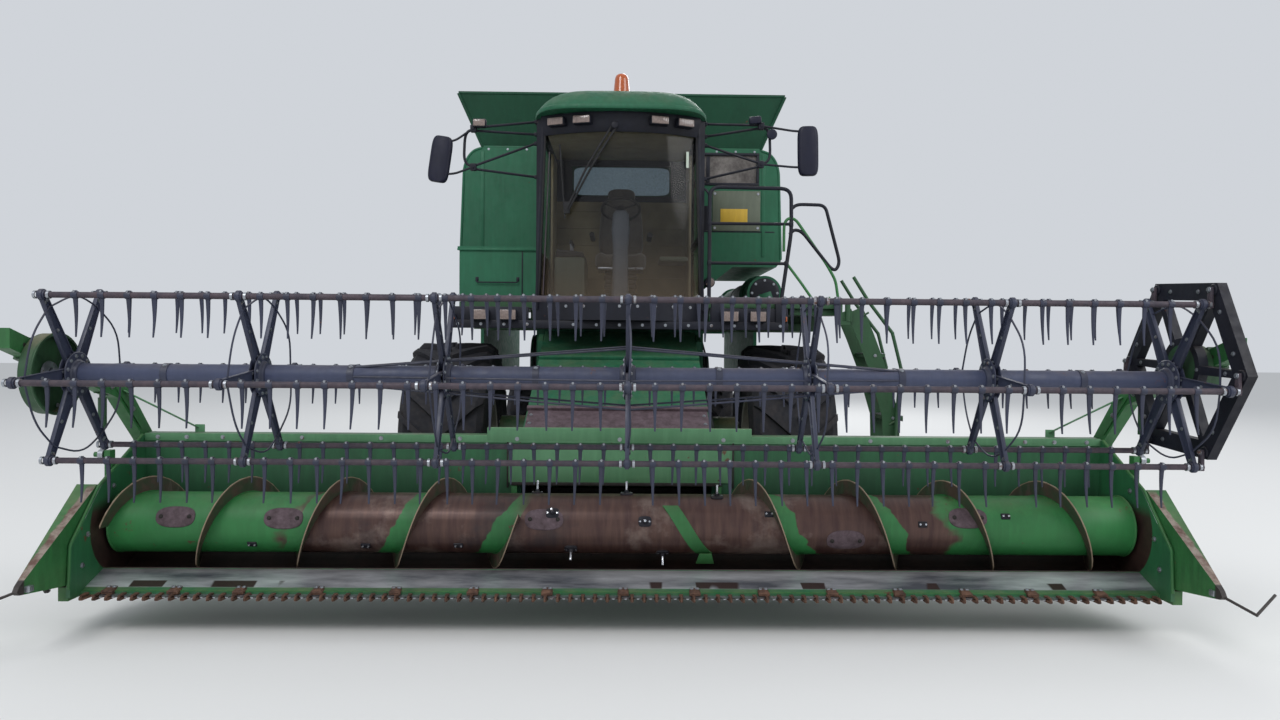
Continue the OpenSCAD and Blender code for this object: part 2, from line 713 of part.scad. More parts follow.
module cab_frame() {
    w = cab_wall;
    hw = cab_hw;
    color(black) union() {
        // Floor, with its curved front edge
        intersection() {
            translate([screen_c[0], screen_c[1], cab_z0 - 60]) cylinder(h = 60, r = screen_r, $fn = 96);
            box([-hw, cab_y0 - 10, cab_z0 - 60], [hw, cab_y1, cab_z0]);
        }
        // Curved front frame with the windscreen cut out
        difference() {
            intersection() {
                screen_shell(w, 0);
                box([-hw, cab_y0 - 10, cab_z0], [hw, cab_front + 5, cab_z1]);
            }
            screen_outline(0);
        }
        // Corner posts behind the front frame and at the rear
        mirror_both() {
            box([hw - w, cab_front + 5, cab_z0], [hw, door_y0, cab_z1]);
            box([hw - w, door_y1, cab_z0], [hw, cab_y1, cab_z1]);
            box([hw - w, door_y0, cab_z1 - 60], [hw, door_y1, cab_z1]);
        }
        // Sills
        mirror_both() box([hw - w, door_y0, cab_z0], [hw, door_y1, sill_z]);
        // Rear wall with its window
        difference() {
            box([-hw + w, cab_y1 - w, cab_z0], [hw - w, cab_y1, cab_z1]);
            box([-rear_win_hw, cab_y1 - w - 1, rear_win_z0], [rear_win_hw, cab_y1 + 1, rear_win_z1]);
        }
        // Lugs and pins of the door hinges on the rear post
        for (z = door_hinge_z) {
            box([hw - 5, door_y1, z], [hw + 24, door_y1 + 50, z + 40]);
            translate([hw + 14, door_y1, z]) cylinder(h = 40, r = 12);
            translate([hw + 14, door_y1, z - 50]) cylinder(h = 60, r = 6);
        }
    }
}

module cab_glass() {
    w = cab_wall;
    color("#30363c") {
        intersection() {
            screen_shell(glass_t, 16);
            screen_outline(-fit);
        }
        box([-cab_hw + 18, door_y0 + fit, sill_z + fit], [-cab_hw + 18 + glass_t, door_y1 - fit, cab_z1 - 60 - fit]);
        box([-rear_win_hw + fit, cab_y1 - 24, rear_win_z0 + fit],
            [rear_win_hw - fit, cab_y1 - 16, rear_win_z1 - fit]);
    }
}

module cab_roof() {
    y0 = cab_y0 - 150;
    y1 = cab_y1;
    color(green) hull() {
        for (x = [-1, 1]) {
            translate([x * (cab_hw - 190), y0 + 300, cab_z1]) cylinder(h = 50, r = 215, $fn = 32);
            translate([x * (cab_hw - 60), y1 - 85, cab_z1]) cylinder(h = 50, r = 85, $fn = 32);
            translate([x * 380, y0 + 560, cab_z1 + roof_h - 40]) cylinder(h = 40, r = 160, $fn = 32);
            translate([x * 420, y1 - 300, cab_z1 + roof_h - 40]) cylinder(h = 40, r = 160, $fn = 32);
        }
        translate([0, y0 + 330, cab_z1]) cylinder(h = 50, r = 330, $fn = 32);
    }
}

seat_y = -620;
column_y = -1180;

module cab_interior() {
    color("#4a4640") union() {
        // Seat on its pedestal
        box([-170, seat_y - 200, cab_z0], [170, seat_y + 160, cab_z0 + 330]);
        box([-255, seat_y - 300, cab_z0 + 330], [255, seat_y + 200, cab_z0 + 450]);
        yz_bar(-250, 500, [seat_y + 150, cab_z0 + 400], [seat_y + 260, cab_z0 + 1050], 110);
        box([-150, seat_y + 210, cab_z0 + 1030], [150, seat_y + 310, cab_z0 + 1190]);
    }
    color("#4a4640") box([-640, seat_y - 400, cab_z0], [-330, seat_y + 330, cab_z0 + 620]);
    color(black) union() {
        box([-90, column_y - 160, cab_z0], [90, column_y + 30, cab_z0 + 60]);
        rod([0, column_y - 60, cab_z0 + 30], [0, column_y + 60, cab_z0 + 760], 60);
        translate([0, column_y + 60, cab_z0 + 760]) rotate([-28, 0, 0]) {
            rotate_extrude() translate([178, 0]) circle(r = 14);
            for (a = [90, 210, 330]) rotate([0, 90, a]) cylinder(h = 175, r = 10);
            translate([0, 0, -30]) cylinder(h = 60, r = 50);
        }
    }
}

module cab_door() {
    x0 = cab_hw - 38;
    y0 = door_y0 + gap;
    y1 = door_y1 - gap;
    z0 = sill_z + gap;
    z1 = cab_z1 - 60 - gap;
    color(black) union() {
        for (z = door_hinge_z) difference() {
            union() {
                translate([cab_hw + 14, door_y1, z - 46]) cylinder(h = 46 - fit, r = 12);
                box([cab_hw - 5, door_y1 - 40, z - 46], [cab_hw + 22, door_y1 - gap, z - fit]);
            }
            translate([cab_hw + 14, door_y1, z - 50]) cylinder(h = 60, r = 6 + fit);
        }
        difference() {
            box([x0, y0, z0], [cab_hw, y1, z1]);
            box([x0 - 1, y0 + 55, z0 + 60], [cab_hw + 1, y1 - 55, z1 - 55]);
        }
        box([x0, y0 + 55, z0 + 560], [cab_hw, y1 - 55, z0 + 600]);
        box([cab_hw, y0 + 10, z0 + 640], [cab_hw + 40, y0 + 40, z0 + 860]);
    }
}

module door_glass() {
    y0 = door_y0 + gap + 55;
    y1 = door_y1 - gap - 55;
    z0 = sill_z + gap + 60;
    color("#30363c") {
        box([cab_hw - 24, y0 + 0.3, z0 + 0.3], [cab_hw - 16, y1 - 0.3, z0 + 499.7]);
        box([cab_hw - 24, y0 + 0.3, z0 + 540.3], [cab_hw - 16, y1 - 0.3, cab_z1 - 60 - gap - 55.3]);
    }
}

// Platform, rails, ladder

module platform() {
    color(dark_green) union() {
        translate([ladder_x, ladder_y0 - 32, deck_z - 170]) cylinder(h = 170, r = 12);
        box([deck_x1 - 20, ladder_y0 - 50, deck_z - 10 + fit], [ladder_x + 20, ladder_y0 - 14, deck_z]);
        box([deck_x1 - 20, ladder_y0 - 50, deck_z - 190], [ladder_x + 20, ladder_y0 - 14, deck_z - 160 - fit]);
        box([deck_x1 - 60, ladder_y0 - 50, deck_z - 190], [deck_x1 - 10, ladder_y0 + 20, deck_z]);
        box([cab_hw + 15, deck_y0, deck_z - 50], [deck_x1, cab_y1, deck_z]);
        box([-cab_hw - 15 - 700, cab_y0 + 470, deck_z - 50], [-cab_hw - 15, cab_y1, deck_z]);
        for (y = [body_y0 + 30, cab_y1 - 120]) {
            box([-cab_hw - 660, y, beam_z0], [deck_x1 - 40, y + 80, cab_z0 - 60]);
            for (x = [-cab_hw - 640, -cab_hw - 115, cab_hw + 35, deck_x1 - 120])
                box([x, y, cab_z0 - 65], [x + 80, y + 80, deck_z - 45]);
        }
    }
}

module handrails() {
    x0 = cab_hw + 25;
    x1 = 1440;
    y = deck_y0 + 20;
    z = deck_z;
    top = z + rail_h;
    color(black) union() {
        run([[x0, y, z], [x0, y, top], [x1, y, top], [x1, y, z]], rail_r);
        for (h = [0.34, 0.67]) rod([x0, y, z + h * rail_h], [x1, y, z + h * rail_h], rail_r - 3);
        run([[1540, y, z], [1540, y, top - 160], [1810, y, top - 160], [deck_x1 - 30, y, z + 340],
            [deck_x1 - 30, y, z]], rail_r);
        run([[deck_x1 - 30, cab_y1 - 40, z], [deck_x1 - 30, cab_y1 - 40, top], [deck_x1 - 30, cab_y1 - 800, top],
            [deck_x1 - 30, cab_y1 - 800, z]], rail_r);
        rod([deck_x1 - 30, cab_y1 - 40, z + 500], [deck_x1 - 30, cab_y1 - 800, z + 500], rail_r - 3);
    }
}

ladder_x = deck_x1 + 40;
ladder_y0 = -1690;
ladder_y1 = -1290;
ladder_pts = [[70, deck_z - 60], [170, 1900], [270, 1640], [400, 1200], [420, 560]];

module ladder() {
    color(dark_green) difference() {
        union() {
            for (y = [ladder_y0, ladder_y1 - 8]) translate([ladder_x, 0, 0]) front_slab(y, 8, strip(ladder_pts, 150));
            for (i = [0 : treads - 1]) {
                z = deck_z - 460 - i * 275;
                x = lookup(-z, [for (p = ladder_pts) [-p[1], p[0]]]);
                box([ladder_x + x - 60, ladder_y0 + 4, z - 15], [ladder_x + x + 110, ladder_y1 - 4, z + 15]);
            }
            // Sleeve that turns on the platform's hinge pin
            translate([ladder_x, ladder_y0 - 32, deck_z - 160]) cylinder(h = 150, r = 24);
            box([ladder_x - 6, ladder_y0 - 32, deck_z - 160], [ladder_x + 40, ladder_y0 + 5, deck_z - 70]);
        }
        translate([ladder_x, ladder_y0 - 32, deck_z - 161]) cylinder(h = 152, r = 12 + fit);
    }
    color(black) for (y = [ladder_y0 - 20, ladder_y1 + 20]) union() {
        run([[ladder_x + 50, y, 2420], [ladder_x + 190, y, 2200], [ladder_x + 400, y, 1930],
            [ladder_x + 480, y, 1620], [ladder_x + 450, y, 1250], [ladder_x + 430, y, 900]], rail_r - 2);
        for (p = [[190, 2200], [450, 1250]]) {
            q = lookup(-p[1], [for (r = ladder_pts) [-r[1], r[0]]]);
            yin = y < -1500 ? ladder_y0 + 4 : ladder_y1 - 4;
            rod([ladder_x + p[0], y, p[1] - 90], [ladder_x + p[0] - 60, yin, p[1] - 130], 9);
        }
    }
}

// Lamps, mirrors and boxes

bar_y = -1770;

module lamp_box(x, y, z, w, h, d) {
    box([x - w / 2, y, z - h / 2], [x + w / 2, y + d, z + h / 2]);
}

// The windscreen's front at a distance x from the centre plane
function screen_at(x) = cab_y0 + screen_r - sqrt(screen_r * screen_r - x * x);

module lamps() {
    color(black) union() {
        // Lamp bar in front of the platform, hung from its edge
        box([-1470, bar_y, cab_z0 - 135], [1470, bar_y + 60, cab_z0 - 65]);
        for (x = [840, 1400]) box([x - 40, bar_y, cab_z0 - 70], [x + 40, deck_y0, deck_z - 10]);
        for (x = [-1200, -960, 960, 1200]) {
            lamp_box(x, bar_y - 60, cab_z0 - 20, 150, 100, 65);
            box([x - 20, bar_y, cab_z0 - 70], [x + 20, bar_y + 20, cab_z0 + 20]);
        }
        mirror_both() lamp_box(1440, bar_y - 20, cab_z0 - 40, 50, 60, 45);
    }
    color("#c9b49a") for (x = [-540, -320, 320, 540])
        lamp_box(x, screen_at(abs(x) - 83) - 100, cab_z1 - 40, 165, 80, 90);
    color("#ff7a00") translate([0, beacon_y, cab_z1 + roof_h]) union() {
        cylinder(h = 34, r = 84);
        translate([0, 0, 34]) cylinder(h = 196, r1 = 76, r2 = 62);
    }
}

module storage_box() {
    color(green) union() {
        box([230 - tank_hw, -1380, deck_z + 47], [-cab_hw - 15, tank_y0 - 5, deck_z + 470]);
        box([215 - tank_hw, -1395, deck_z + 469], [-cab_hw - 15, tank_y0 - 5, deck_z + 500]);
        for (y = [-1300, -300]) box([290 - tank_hw, y, deck_z], [-cab_hw - 60, y + 50, deck_z + 50]);
    }
}

// A mirror on its two pairs of stays: the post's place and heights, then the mirror's
module mirror_arm(s, post, glass) {
    y = cab_front + 25;
    py = y - 205;
    cab_z = [cab_z1 - 5, cab_z1 - 115, cab_z1 - 195, cab_z1 - 490];
    color(black) union() {
        for (z = cab_z) box([min(s * cab_hw, s * (cab_hw + 20)), y - 25, z - 25],
            [max(s * cab_hw, s * (cab_hw + 20)), y + 25, z + 5]);
        // Four stays meet the post in two clamps
        for (i = [0 : 3]) rod([s * (cab_hw + 12), y, cab_z[i] - 10],
            [s * post[0], py + 10, post[i < 2 ? 1 : 2] + (i % 2 == 0 ? 15 : -15)], 12);
        for (i = [1, 2]) box([s * post[0] - 28, py - 30, post[i] - 32],
            [s * post[0] + 28, py + 28, post[i] + 32]);
        run([[s * (post[0] + 10), py + 12, post[1] - 5], [s * (post[0] + 75), py + 12, post[1] - 60],
            [s * (post[0] + 75), py + 12, post[2] + 70], [s * (post[0] + 10), py + 12, post[2] + 5]], 11);
        for (i = [1, 2]) rod([s * post[0], py - 17, post[i]],
            [s * glass[0], py - 30, glass[3 - i] + (i == 1 ? -45 : 75)], 10);
        box([s * glass[0] - 92, py - 60, glass[1]], [s * glass[0] + 92, py - 12, glass[2]]);
        box([s * (post[0] - 55) - 58, py - 55, post[1] + 5],
            [s * (post[0] - 55) + 58, py + 25, post[1] + 75]);
    }
}

module mirrors() {
    mirror_arm(1, [1215, 3710, 3380], [1620, 3280, 3710]);
    mirror_arm(-1, [1270, 3660, 3330], [1550, 3190, 3590]);
}

// Feeder house and header

feeder_front_y = back_y + 40;

module feeder_house() {
    t = feeder_wall;
    hw = feeder_hw;
    outer = [[feeder_front_y, 520], [feeder_front_y, 1060], [-1130, 1930], [-1090, 1780], [-1160, 1290]];
    color(green) union() {
        difference() {
            slab(-hw, 2 * hw, outer);
            slab(-hw + t, 2 * (hw - t), [[feeder_front_y - 1, 520 + t], [feeder_front_y - 1, 1060 - t],
                [-1135, 1930 - t], [-1080, 1780], [-1150, 1290 + t + 10]]);
        }
        // Cheeks that take the lift rods
        mirror_both() for (dx = [-62, 34])
            slab(lift_x + dx, 28, [[lift_eye[0] - 60, lift_eye[1] - 60], [lift_eye[0] + 60, lift_eye[1] - 60],
                [lift_eye[0] + 200, 905], [lift_eye[0] - 200, 740]]);
        mirror_both() xcyl(lift_x - 62, lift_x + 62, lift_eye[0], lift_eye[1], 18);
        mirror_both() xcyl(hw - 1, hw + 50, lift_y, lift_z, 45);
    }
}

// Outline of the header's floor, trough and back, seen from the side
function tray() = concat([[knife_y, knife_z - 20], [knife_y, knife_z], [-3740, 345]],
    arc([auger_y, auger_z], trough_r, 234, 360, 14), [[back_y, back_z], [back_y + sheet_t, back_z]],
    [[back_y + sheet_t, auger_z]],
    arc([auger_y, auger_z], trough_r + sheet_t, 360, 236, 14), [[-3745, 330], [knife_y + 60, knife_z - 20]]);

module header_frame() {
    x0 = header_x - header_hw;
    len = 2 * header_hw;
    color(green) union() {
        difference() {
            union() {
                slab(x0, len, tray());
                box([x0, back_y + sheet_t, back_z - 110], [x0 + len, back_y + 130, back_z]);
                box([x0, back_y + sheet_t, 330], [x0 + len, back_y + 130, 450]);
                for (x = [x0, -feeder_hw - 120, feeder_hw, x0 + len - 120])
                    box([x, back_y + sheet_t, 450], [x + 120, back_y + 130, back_z - 110]);
            }
            box([-feeder_hw, back_y - 200, 470], [feeder_hw, back_y + 200, mouth_z]);
            box([-feeder_hw - fit, feeder_front_y - fit, 460], [feeder_hw + fit, back_y + 200, back_z + 1]);
        }
        // End sheets
        header_both() slab(header_hw, 24, [[back_y + 130, 300], [back_y + 130, back_z], [back_y - 20, back_z - 10],
            [-3760, 880], [-4060, 560], [-4080, 250], [-3900, 225], [-3500, 250]]);
        // Knees for the reel arms
        header_both() difference() {
            union() {
                for (dx = [-1, 1])
                    slab(header_hw + arm_off + dx * (arm_w / 2 + 14) - 8, 16, [[back_y + 129, 900],
                        [arm_pivot[0] + 60, 1040], [arm_pivot[0] + 50, 1160], [arm_pivot[0] - 40, 1165],
                        [back_y + 129, 1050]]);
                box([header_hw + 5, back_y + 100, 900], [header_hw + arm_off + arm_w / 2 + 22, back_y + 130, 1050]);
            }
            xcyl(header_hw, header_hw + 200, arm_pivot[0], arm_pivot[1], 16 + fit);
        }
    }
}

module header_dividers() {
    color(green) header_both() {
        hull() {
            slab(header_hw + 24, 130, [[-3700, 300], [-3700, 860], [-3760, 890], [-3900, 300]]);
            slab(header_hw + 30, 30, [[-4480, 380], [-4500, 400], [-4480, 430]]);
        }
        box([header_hw + 24, -4060, 225], [header_hw + 84, -3700, 310]);
        // Foot that carries the reel cylinder
        box([header_hw + 24, reel_eye[0] - 30, 700], [header_hw + 60, reel_eye[0] + 30, reel_eye[1] + 30]);
    }
    color(green) for (x = [arm_xl, arm_xr]) xcyl(x - 50, x + 50, reel_eye[0], reel_eye[1], 17);
    color(black) {
        run([[header_x + header_hw + 45, -4470, 400], [header_x + header_hw + 130, -4640, 340],
            [header_x + header_hw + 290, -4560, 430]], 8);
        run([[header_x - header_hw - 45, -4470, 400], [header_x - header_hw - 200, -4640, 340],
            [header_x - header_hw - 430, -4560, 430]], 8);
    }
}

guards = floor(2 * header_hw / guard_pitch);
function guard_row() = [for (i = [0 : guards - 1])
    let (x = (i - (guards - 1) / 2) * guard_pitch)
    each [[x - 16, 0], [x - 9, guard_len * 0.45], [x, guard_len], [x + 9, guard_len * 0.45], [x + 16, 0]]];

module cutterbar() {
    hw = header_hw - 2;
    color(rust) translate([header_x, knife_y, 0]) {
        translate([0, 0, knife_z - 34]) mirror([0, 1, 0]) linear_extrude(14)
            polygon(concat([[-hw, -60], [-hw, 0]], guard_row(), [[hw, 0], [hw, -60]]));
    }
}

function section_row(n) = [for (i = [0 : n - 1])
    let (x = (i - (n - 1) / 2) * guard_pitch)
    each [[x - guard_pitch / 2 + 1, 18], [x - 8, 70], [x + 8, 70], [x + guard_pitch / 2 - 1, 18]]];

module knife() {
    n = guards - 3;
    hw = n * guard_pitch / 2;
    color(steel) translate([header_x, knife_y - fit, knife_z - 20 + fit]) mirror([0, 1, 0]) linear_extrude(6)
        polygon(concat([[-hw, 0]], section_row(n), [[hw, 0]]));
}

module auger_flight(x0, x1, dir) {
    r0 = auger_r + 2.2;
    half = 180 * flight_t / flight_pitch;
    turns = (x1 - x0) / flight_pitch;
    translate([x0, auger_y, auger_z]) rotate([0, 90, 0]) rotate([0, 0, -dir * flight_turn])
        linear_extrude(height = x1 - x0, twist = dir * 360 * turns, slices = ceil(turns * 24), $fn = 3)
            polygon([for (p = [[r0, -1], [flight_r, -1], [flight_r, 1], [r0, 1]])
                [p[0] * cos(p[1] * half), p[0] * sin(p[1] * half)]]);
}

module cross_auger() {
    hw = header_hw - 30;
    color(green) union() {
        xcyl(header_x - hw, header_x + hw, auger_y, auger_z, auger_r);
        xcyl(header_x - header_hw + fit, header_x + header_hw - fit, auger_y, auger_z, 40);
        for (i = [-5 : 5]) translate([header_x + i * 120, auger_y, auger_z])
            rotate([i * 75, 0, 0]) cylinder(h = auger_r + 85, r = 8);
    }
    color(dark_green) {
        auger_flight(header_x - hw + 10, header_x - finger_hw, 1);
        auger_flight(header_x + finger_hw, header_x + hw - 10, -1);
    }
}

// Cylinders that lift the header

module lift_barrels() {
    v = lift_eye - lift_pin;
    a = atan2(v[1], v[0]);
    color(dark_green) mirror_both() difference() {
        translate([lift_x, lift_pin[0], lift_pin[1]]) rotate([a, 0, 0]) union() {
            rotate([-90, 0, 0]) cylinder(h = 100, r = 27);
            translate([0, 75, 0]) rotate([-90, 0, 0]) cylinder(h = 765, r = 48);
            translate([-30, 0, 0]) rotate([0, 90, 0]) cylinder(h = 60, r = 46);
        }
        xcyl(lift_x - 40, lift_x + 40, lift_pin[0], lift_pin[1], 24 + fit);
        translate([lift_x, lift_pin[0], lift_pin[1]]) rotate([a, 0, 0])
            translate([0, 110, 0]) rotate([-90, 0, 0]) cylinder(h = 900, r = 30 + fit);
    }
}

module lift_rods() {
    v = lift_eye - lift_pin;
    a = atan2(v[1], v[0]);
    len = norm(v);
    color(steel) mirror_both() difference() {
        translate([lift_x, lift_pin[0], lift_pin[1]]) rotate([a, 0, 0]) union() {
            translate([0, 420, 0]) rotate([-90, 0, 0]) cylinder(h = len - 450, r = 30);
            translate([-28, len, 0]) rotate([0, 90, 0]) cylinder(h = 56, r = 50);
        }
        xcyl(lift_x - 40, lift_x + 40, lift_eye[0], lift_eye[1], 30);
    }
}

// Reel arms and their cylinders

module reel_arm(x) {
    h = arm_h / 2 / cos(arm_slope);
    tip_z = arm_z(arm_tip_y);
    difference() {
        union() {
            slab(x - arm_w / 2, arm_w, [[arm_tip_y, tip_z - h], [arm_tip_y, tip_z + h],
                [arm_knee[0] + 60, arm_z(arm_knee[0] + 60) + h], [arm_pivot[0] + 45, arm_pivot[1] + 40],
                [arm_pivot[0] + 20, arm_pivot[1] - 40], [arm_pivot[0] - 40, arm_pivot[1] - 25],
                [arm_knee[0] - 60, arm_z(arm_knee[0] - 60) - h]]);
            for (dx = [-1, 1])
                slab(x + dx * 32 - 8, 16, [[reel_pin[0] - 40, reel_pin[1] + 40],
                    [reel_pin[0] + 40, reel_pin[1] + 20], [reel_pin[0] + 30, reel_pin[1] - 35],
                    [reel_pin[0] - 30, reel_pin[1] - 35]]);
        }
        box([x - 22, reel_pin[0] - 45, reel_pin[1] - 60], [x + 22, reel_pin[0] + 45, reel_pin[1] + 36]);
    }
    xcyl(x - arm_w / 2 - 22, x + arm_w / 2 + 22, arm_pivot[0], arm_pivot[1], 16);
    xcyl(x - 40, x + 40, reel_pin[0], reel_pin[1], 12);
}

module reel_arms() {
    color(green) union() {
        reel_arm(arm_xl);
        reel_arm(arm_xr);
    }
}

module reel_barrels() {
    color(dark_green) for (x = [arm_xl, arm_xr]) difference() {
        union() {
            translate([x, reel_pin[0], reel_pin[1] - 265]) cylinder(h = 200, r = 26);
            translate([x, reel_pin[0], reel_pin[1] - 70]) cylinder(h = 60, r = 18);
            xcyl(x - 20, x + 20, reel_pin[0], reel_pin[1], 28);
        }
        xcyl(x - 41, x + 41, reel_pin[0], reel_pin[1], 12 + fit);
        translate([x, reel_pin[0], reel_pin[1] - 266]) cylinder(h = 240, r = 14 + fit);
    }
}

module reel_rods() {
    color(steel) for (x = [arm_xl, arm_xr]) difference() {
        union() {
            translate([x, reel_eye[0], reel_eye[1] + 20]) cylinder(h = 335, r = 14);
            xcyl(x - 16, x + 16, reel_eye[0], reel_eye[1], 34);
        }
        xcyl(x - 41, x + 41, reel_eye[0], reel_eye[1], 24);
    }
}

cam_x0 = header_x + header_hw - 70;
cam_x1 = cam_x0 + 55;

module reel_carriage() {
    c = 1;
    cover_x = arm_xl + arm_w / 2 + 12;
    color(dark_green) difference() {
        union() {
            for (x = [arm_xl, arm_xr]) {
                translate([x, reel_y, arm_z(reel_y)]) rotate([-arm_slope, 0, 0])
                    translate([-arm_w / 2 - 12, -110, -arm_h / 2 - 12]) cube([arm_w + 24, 220, arm_h + 24]);
                slab(x - arm_w / 2 - 12, arm_w + 24, [[reel_y - 55, reel_z - 50], [reel_y + 55, reel_z - 50],
                    [reel_y + 60, arm_z(reel_y) - 40], [reel_y - 60, arm_z(reel_y) - 40]]);
            }
            // Eccentric that the cam ring turns on
            xcyl(cam_x0, arm_xr - arm_w / 2 - 7, reel_y, reel_z + cam_up, 135);
            // Drive cover at the end away from the cam ring, open towards the reel
            difference() {
                xcyl(cover_x - 5, cover_x + 70, reel_y, reel_z, 235);
                xcyl(cover_x + 10, cover_x + 71, reel_y, reel_z, 225);
            }
        }
        for (x = [arm_xl, arm_xr])
            translate([x, reel_y, arm_z(reel_y)]) rotate([-arm_slope, 0, 0])
                translate([-arm_w / 2 - c, -200, -arm_h / 2 - c]) cube([arm_w + 2 * c, 400, arm_h + 2 * c]);
        xcyl(arm_xl - 100, arm_xr + 100, reel_y, reel_z, 30 + fit);
    }
}

module spider_plate() {
    difference() {
        union() {
            circle(r = 130);
            for (i = [0 : bats - 1]) rotate(bat_angle(i)) {
                polygon([[60, -42], [60, 42], [reel_r, 24], [reel_r, -24]]);
                translate([reel_r, 0]) circle(r = 32);
            }
        }
        for (i = [0 : bats - 1]) rotate(bat_angle(i)) translate([reel_r, 0]) circle(r = bat_r + fit);
    }
}

module reel_core() {
    color("#2a3142") union() {
        for (x = spider_x) translate([x - 12, reel_y, reel_z]) rotate([90, 0, 90]) linear_extrude(24) spider_plate();
        xcyl(spider_x[0] - 12, spider_x[6] + 12, reel_y, reel_z, core_r);
        xcyl(arm_xl - arm_w / 2 - 11, arm_xr + arm_w / 2 + 12, reel_y, reel_z, 30);
        for (i = [0 : bats - 1], s = [-1, 1]) {
            a = bat_angle(i);
            rod([spider_x[3], reel_y + 205 * cos(a), reel_z + 205 * sin(a)],
                [spider_x[3] + s * 1650, reel_y + 55 * cos(a), reel_z + 55 * sin(a)], 6);
        }
    }
}

tines = floor((2 * bat_hw - 120) / tine_pitch);

module bat(i) {
    p = bat_at(i);
    x0 = header_x - bat_hw;
    x1 = header_x + bat_hw;
    color(rust) union() {
        xcyl(x0, cam_x0 - 8, p[0], p[1], bat_r);
        for (k = [0 : tines]) {
            x = header_x + (k - tines / 2) * tine_pitch;
            if (min([for (s = spider_x) abs(x - s)]) > 45)
                front_slab(p[0] - 7, 14, [[x - 15, p[1] + bat_r + 3], [x + 15, p[1] + bat_r + 3], [x + 15, p[1] - 40],
                    [x + 9, p[1] - 150], [x + 4, p[1] - tine_len], [x - 4, p[1] - tine_len], [x - 9, p[1] - 150],
                    [x - 15, p[1] - 40]]);
        }
        slab(cam_x0 - 30, 22, [[p[0] - 20, p[1] - 20], [p[0] + 20, p[1] - 20], [p[0] + 16, p[1] + cam_up + 16],
            [p[0] - 16, p[1] + cam_up + 16]]);
        xcyl(cam_x0 - 9, cam_x1 - 5, p[0], p[1] + cam_up, 10);
    }
}

module cam_ring() {
    color(black) translate([cam_x0, reel_y, reel_z + cam_up]) rotate([90, 0, 90]) linear_extrude(cam_x1 - cam_x0)
        difference() {
            union() {
                difference() {
                    rotate(bat_angle(0)) circle(r = reel_r + 45, $fn = 6);
                    rotate(bat_angle(0)) circle(r = reel_r - 72, $fn = 6);
                }
                circle(r = 175);
                for (i = [0 : bats - 1]) rotate(bat_angle(i)) polygon([[150, -26], [150, 26], [reel_r - 60, 20],
                    [reel_r - 60, -20]]);
            }
            circle(r = 135 + fit);
            for (i = [0 : bats - 1]) rotate(bat_angle(i)) translate([reel_r, 0]) circle(r = 10 + fit);
        }
}

chassis_frame();
front_axle();
rear_axle();
separator_body();
rear_hood();
chopper_housing();
grain_tank();
tank_extension();
engine();
engine_hood();
unloader_turret();
cab_frame();
cab_roof();
cab_glass();
cab_interior();
platform();
handrails();
lamps();
storage_box();
mirrors();
cab_door();
door_glass();
shield_left();
shield_right();
rotary_screen();
unloading_auger();
ladder();
tailboard();
feeder_house();
header_frame();
header_dividers();
cutterbar();
knife();
cross_auger();
lift_barrels();
lift_rods();
reel_arms();
reel_barrels();
reel_rods();
reel_carriage();
reel_core();
bat(0);  // bat_1
bat(1);  // bat_2
bat(2);  // bat_3
bat(3);  // bat_4
bat(4);  // bat_5
bat(5);  // bat_6
cam_ring();
front_tyre(1);  // front_left_tyre
front_rim(1);  // front_left_rim
front_tyre(-1);  // front_right_tyre
front_rim(-1);  // front_right_rim
rear_tyre(1);  // rear_left_tyre
rear_rim(1);  // rear_left_rim
rear_tyre(-1);  // rear_right_tyre
rear_rim(-1);  // rear_right_rim
knuckle(1);  // knuckle_left
knuckle(-1);  // knuckle_right
tie_rod();
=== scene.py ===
import math
import random

import bmesh
import bpy
from mathutils import Matrix, Vector


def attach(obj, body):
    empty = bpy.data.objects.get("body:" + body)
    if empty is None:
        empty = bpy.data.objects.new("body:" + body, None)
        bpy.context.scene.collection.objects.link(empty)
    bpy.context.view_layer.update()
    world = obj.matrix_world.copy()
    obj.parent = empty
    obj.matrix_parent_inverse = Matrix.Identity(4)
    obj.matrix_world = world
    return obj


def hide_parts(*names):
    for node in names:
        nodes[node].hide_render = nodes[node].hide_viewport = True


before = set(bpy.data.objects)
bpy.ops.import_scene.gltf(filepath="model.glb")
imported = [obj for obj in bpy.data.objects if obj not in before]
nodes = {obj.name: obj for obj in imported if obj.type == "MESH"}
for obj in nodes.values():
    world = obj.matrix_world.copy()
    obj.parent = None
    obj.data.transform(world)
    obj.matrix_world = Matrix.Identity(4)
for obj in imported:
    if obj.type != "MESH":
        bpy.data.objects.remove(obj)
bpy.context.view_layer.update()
scene = bpy.context.scene
print("stage: frame loaded")

# Camera at the photograph's standpoint; lamps are soft and plain
view = {"place": (0.06, -9.45, 1.81), "yaw": -0.0158, "pitch": 0.0173, "roll": 0.008, "lens": 24.86}
floorHalf = 60


def addCamera():
    data = bpy.data.cameras.new("camera")
    data.lens = view["lens"]
    data.sensor_width = 36
    data.clip_end = 200
    cam = bpy.data.objects.new("camera", data)
    scene.collection.objects.link(cam)
    turn = Matrix.Rotation(view["yaw"], 4, "Z") @ Matrix.Rotation(math.pi / 2 - view["pitch"], 4, "X")
    cam.matrix_world = Matrix.Translation(view["place"]) @ turn @ Matrix.Rotation(view["roll"], 4, "Z")
    scene.camera = cam


def addLight(name, place, size, power):
    data = bpy.data.lights.new(name, "AREA")
    data.shape = "DISK"
    data.size = size
    data.energy = power
    lamp = bpy.data.objects.new(name, data)
    scene.collection.objects.link(lamp)
    toward = Vector((0, -1, 1.5)) - Vector(place)
    lamp.matrix_world = Matrix.Translation(place) @ toward.to_track_quat("-Z", "Y").to_matrix().to_4x4()


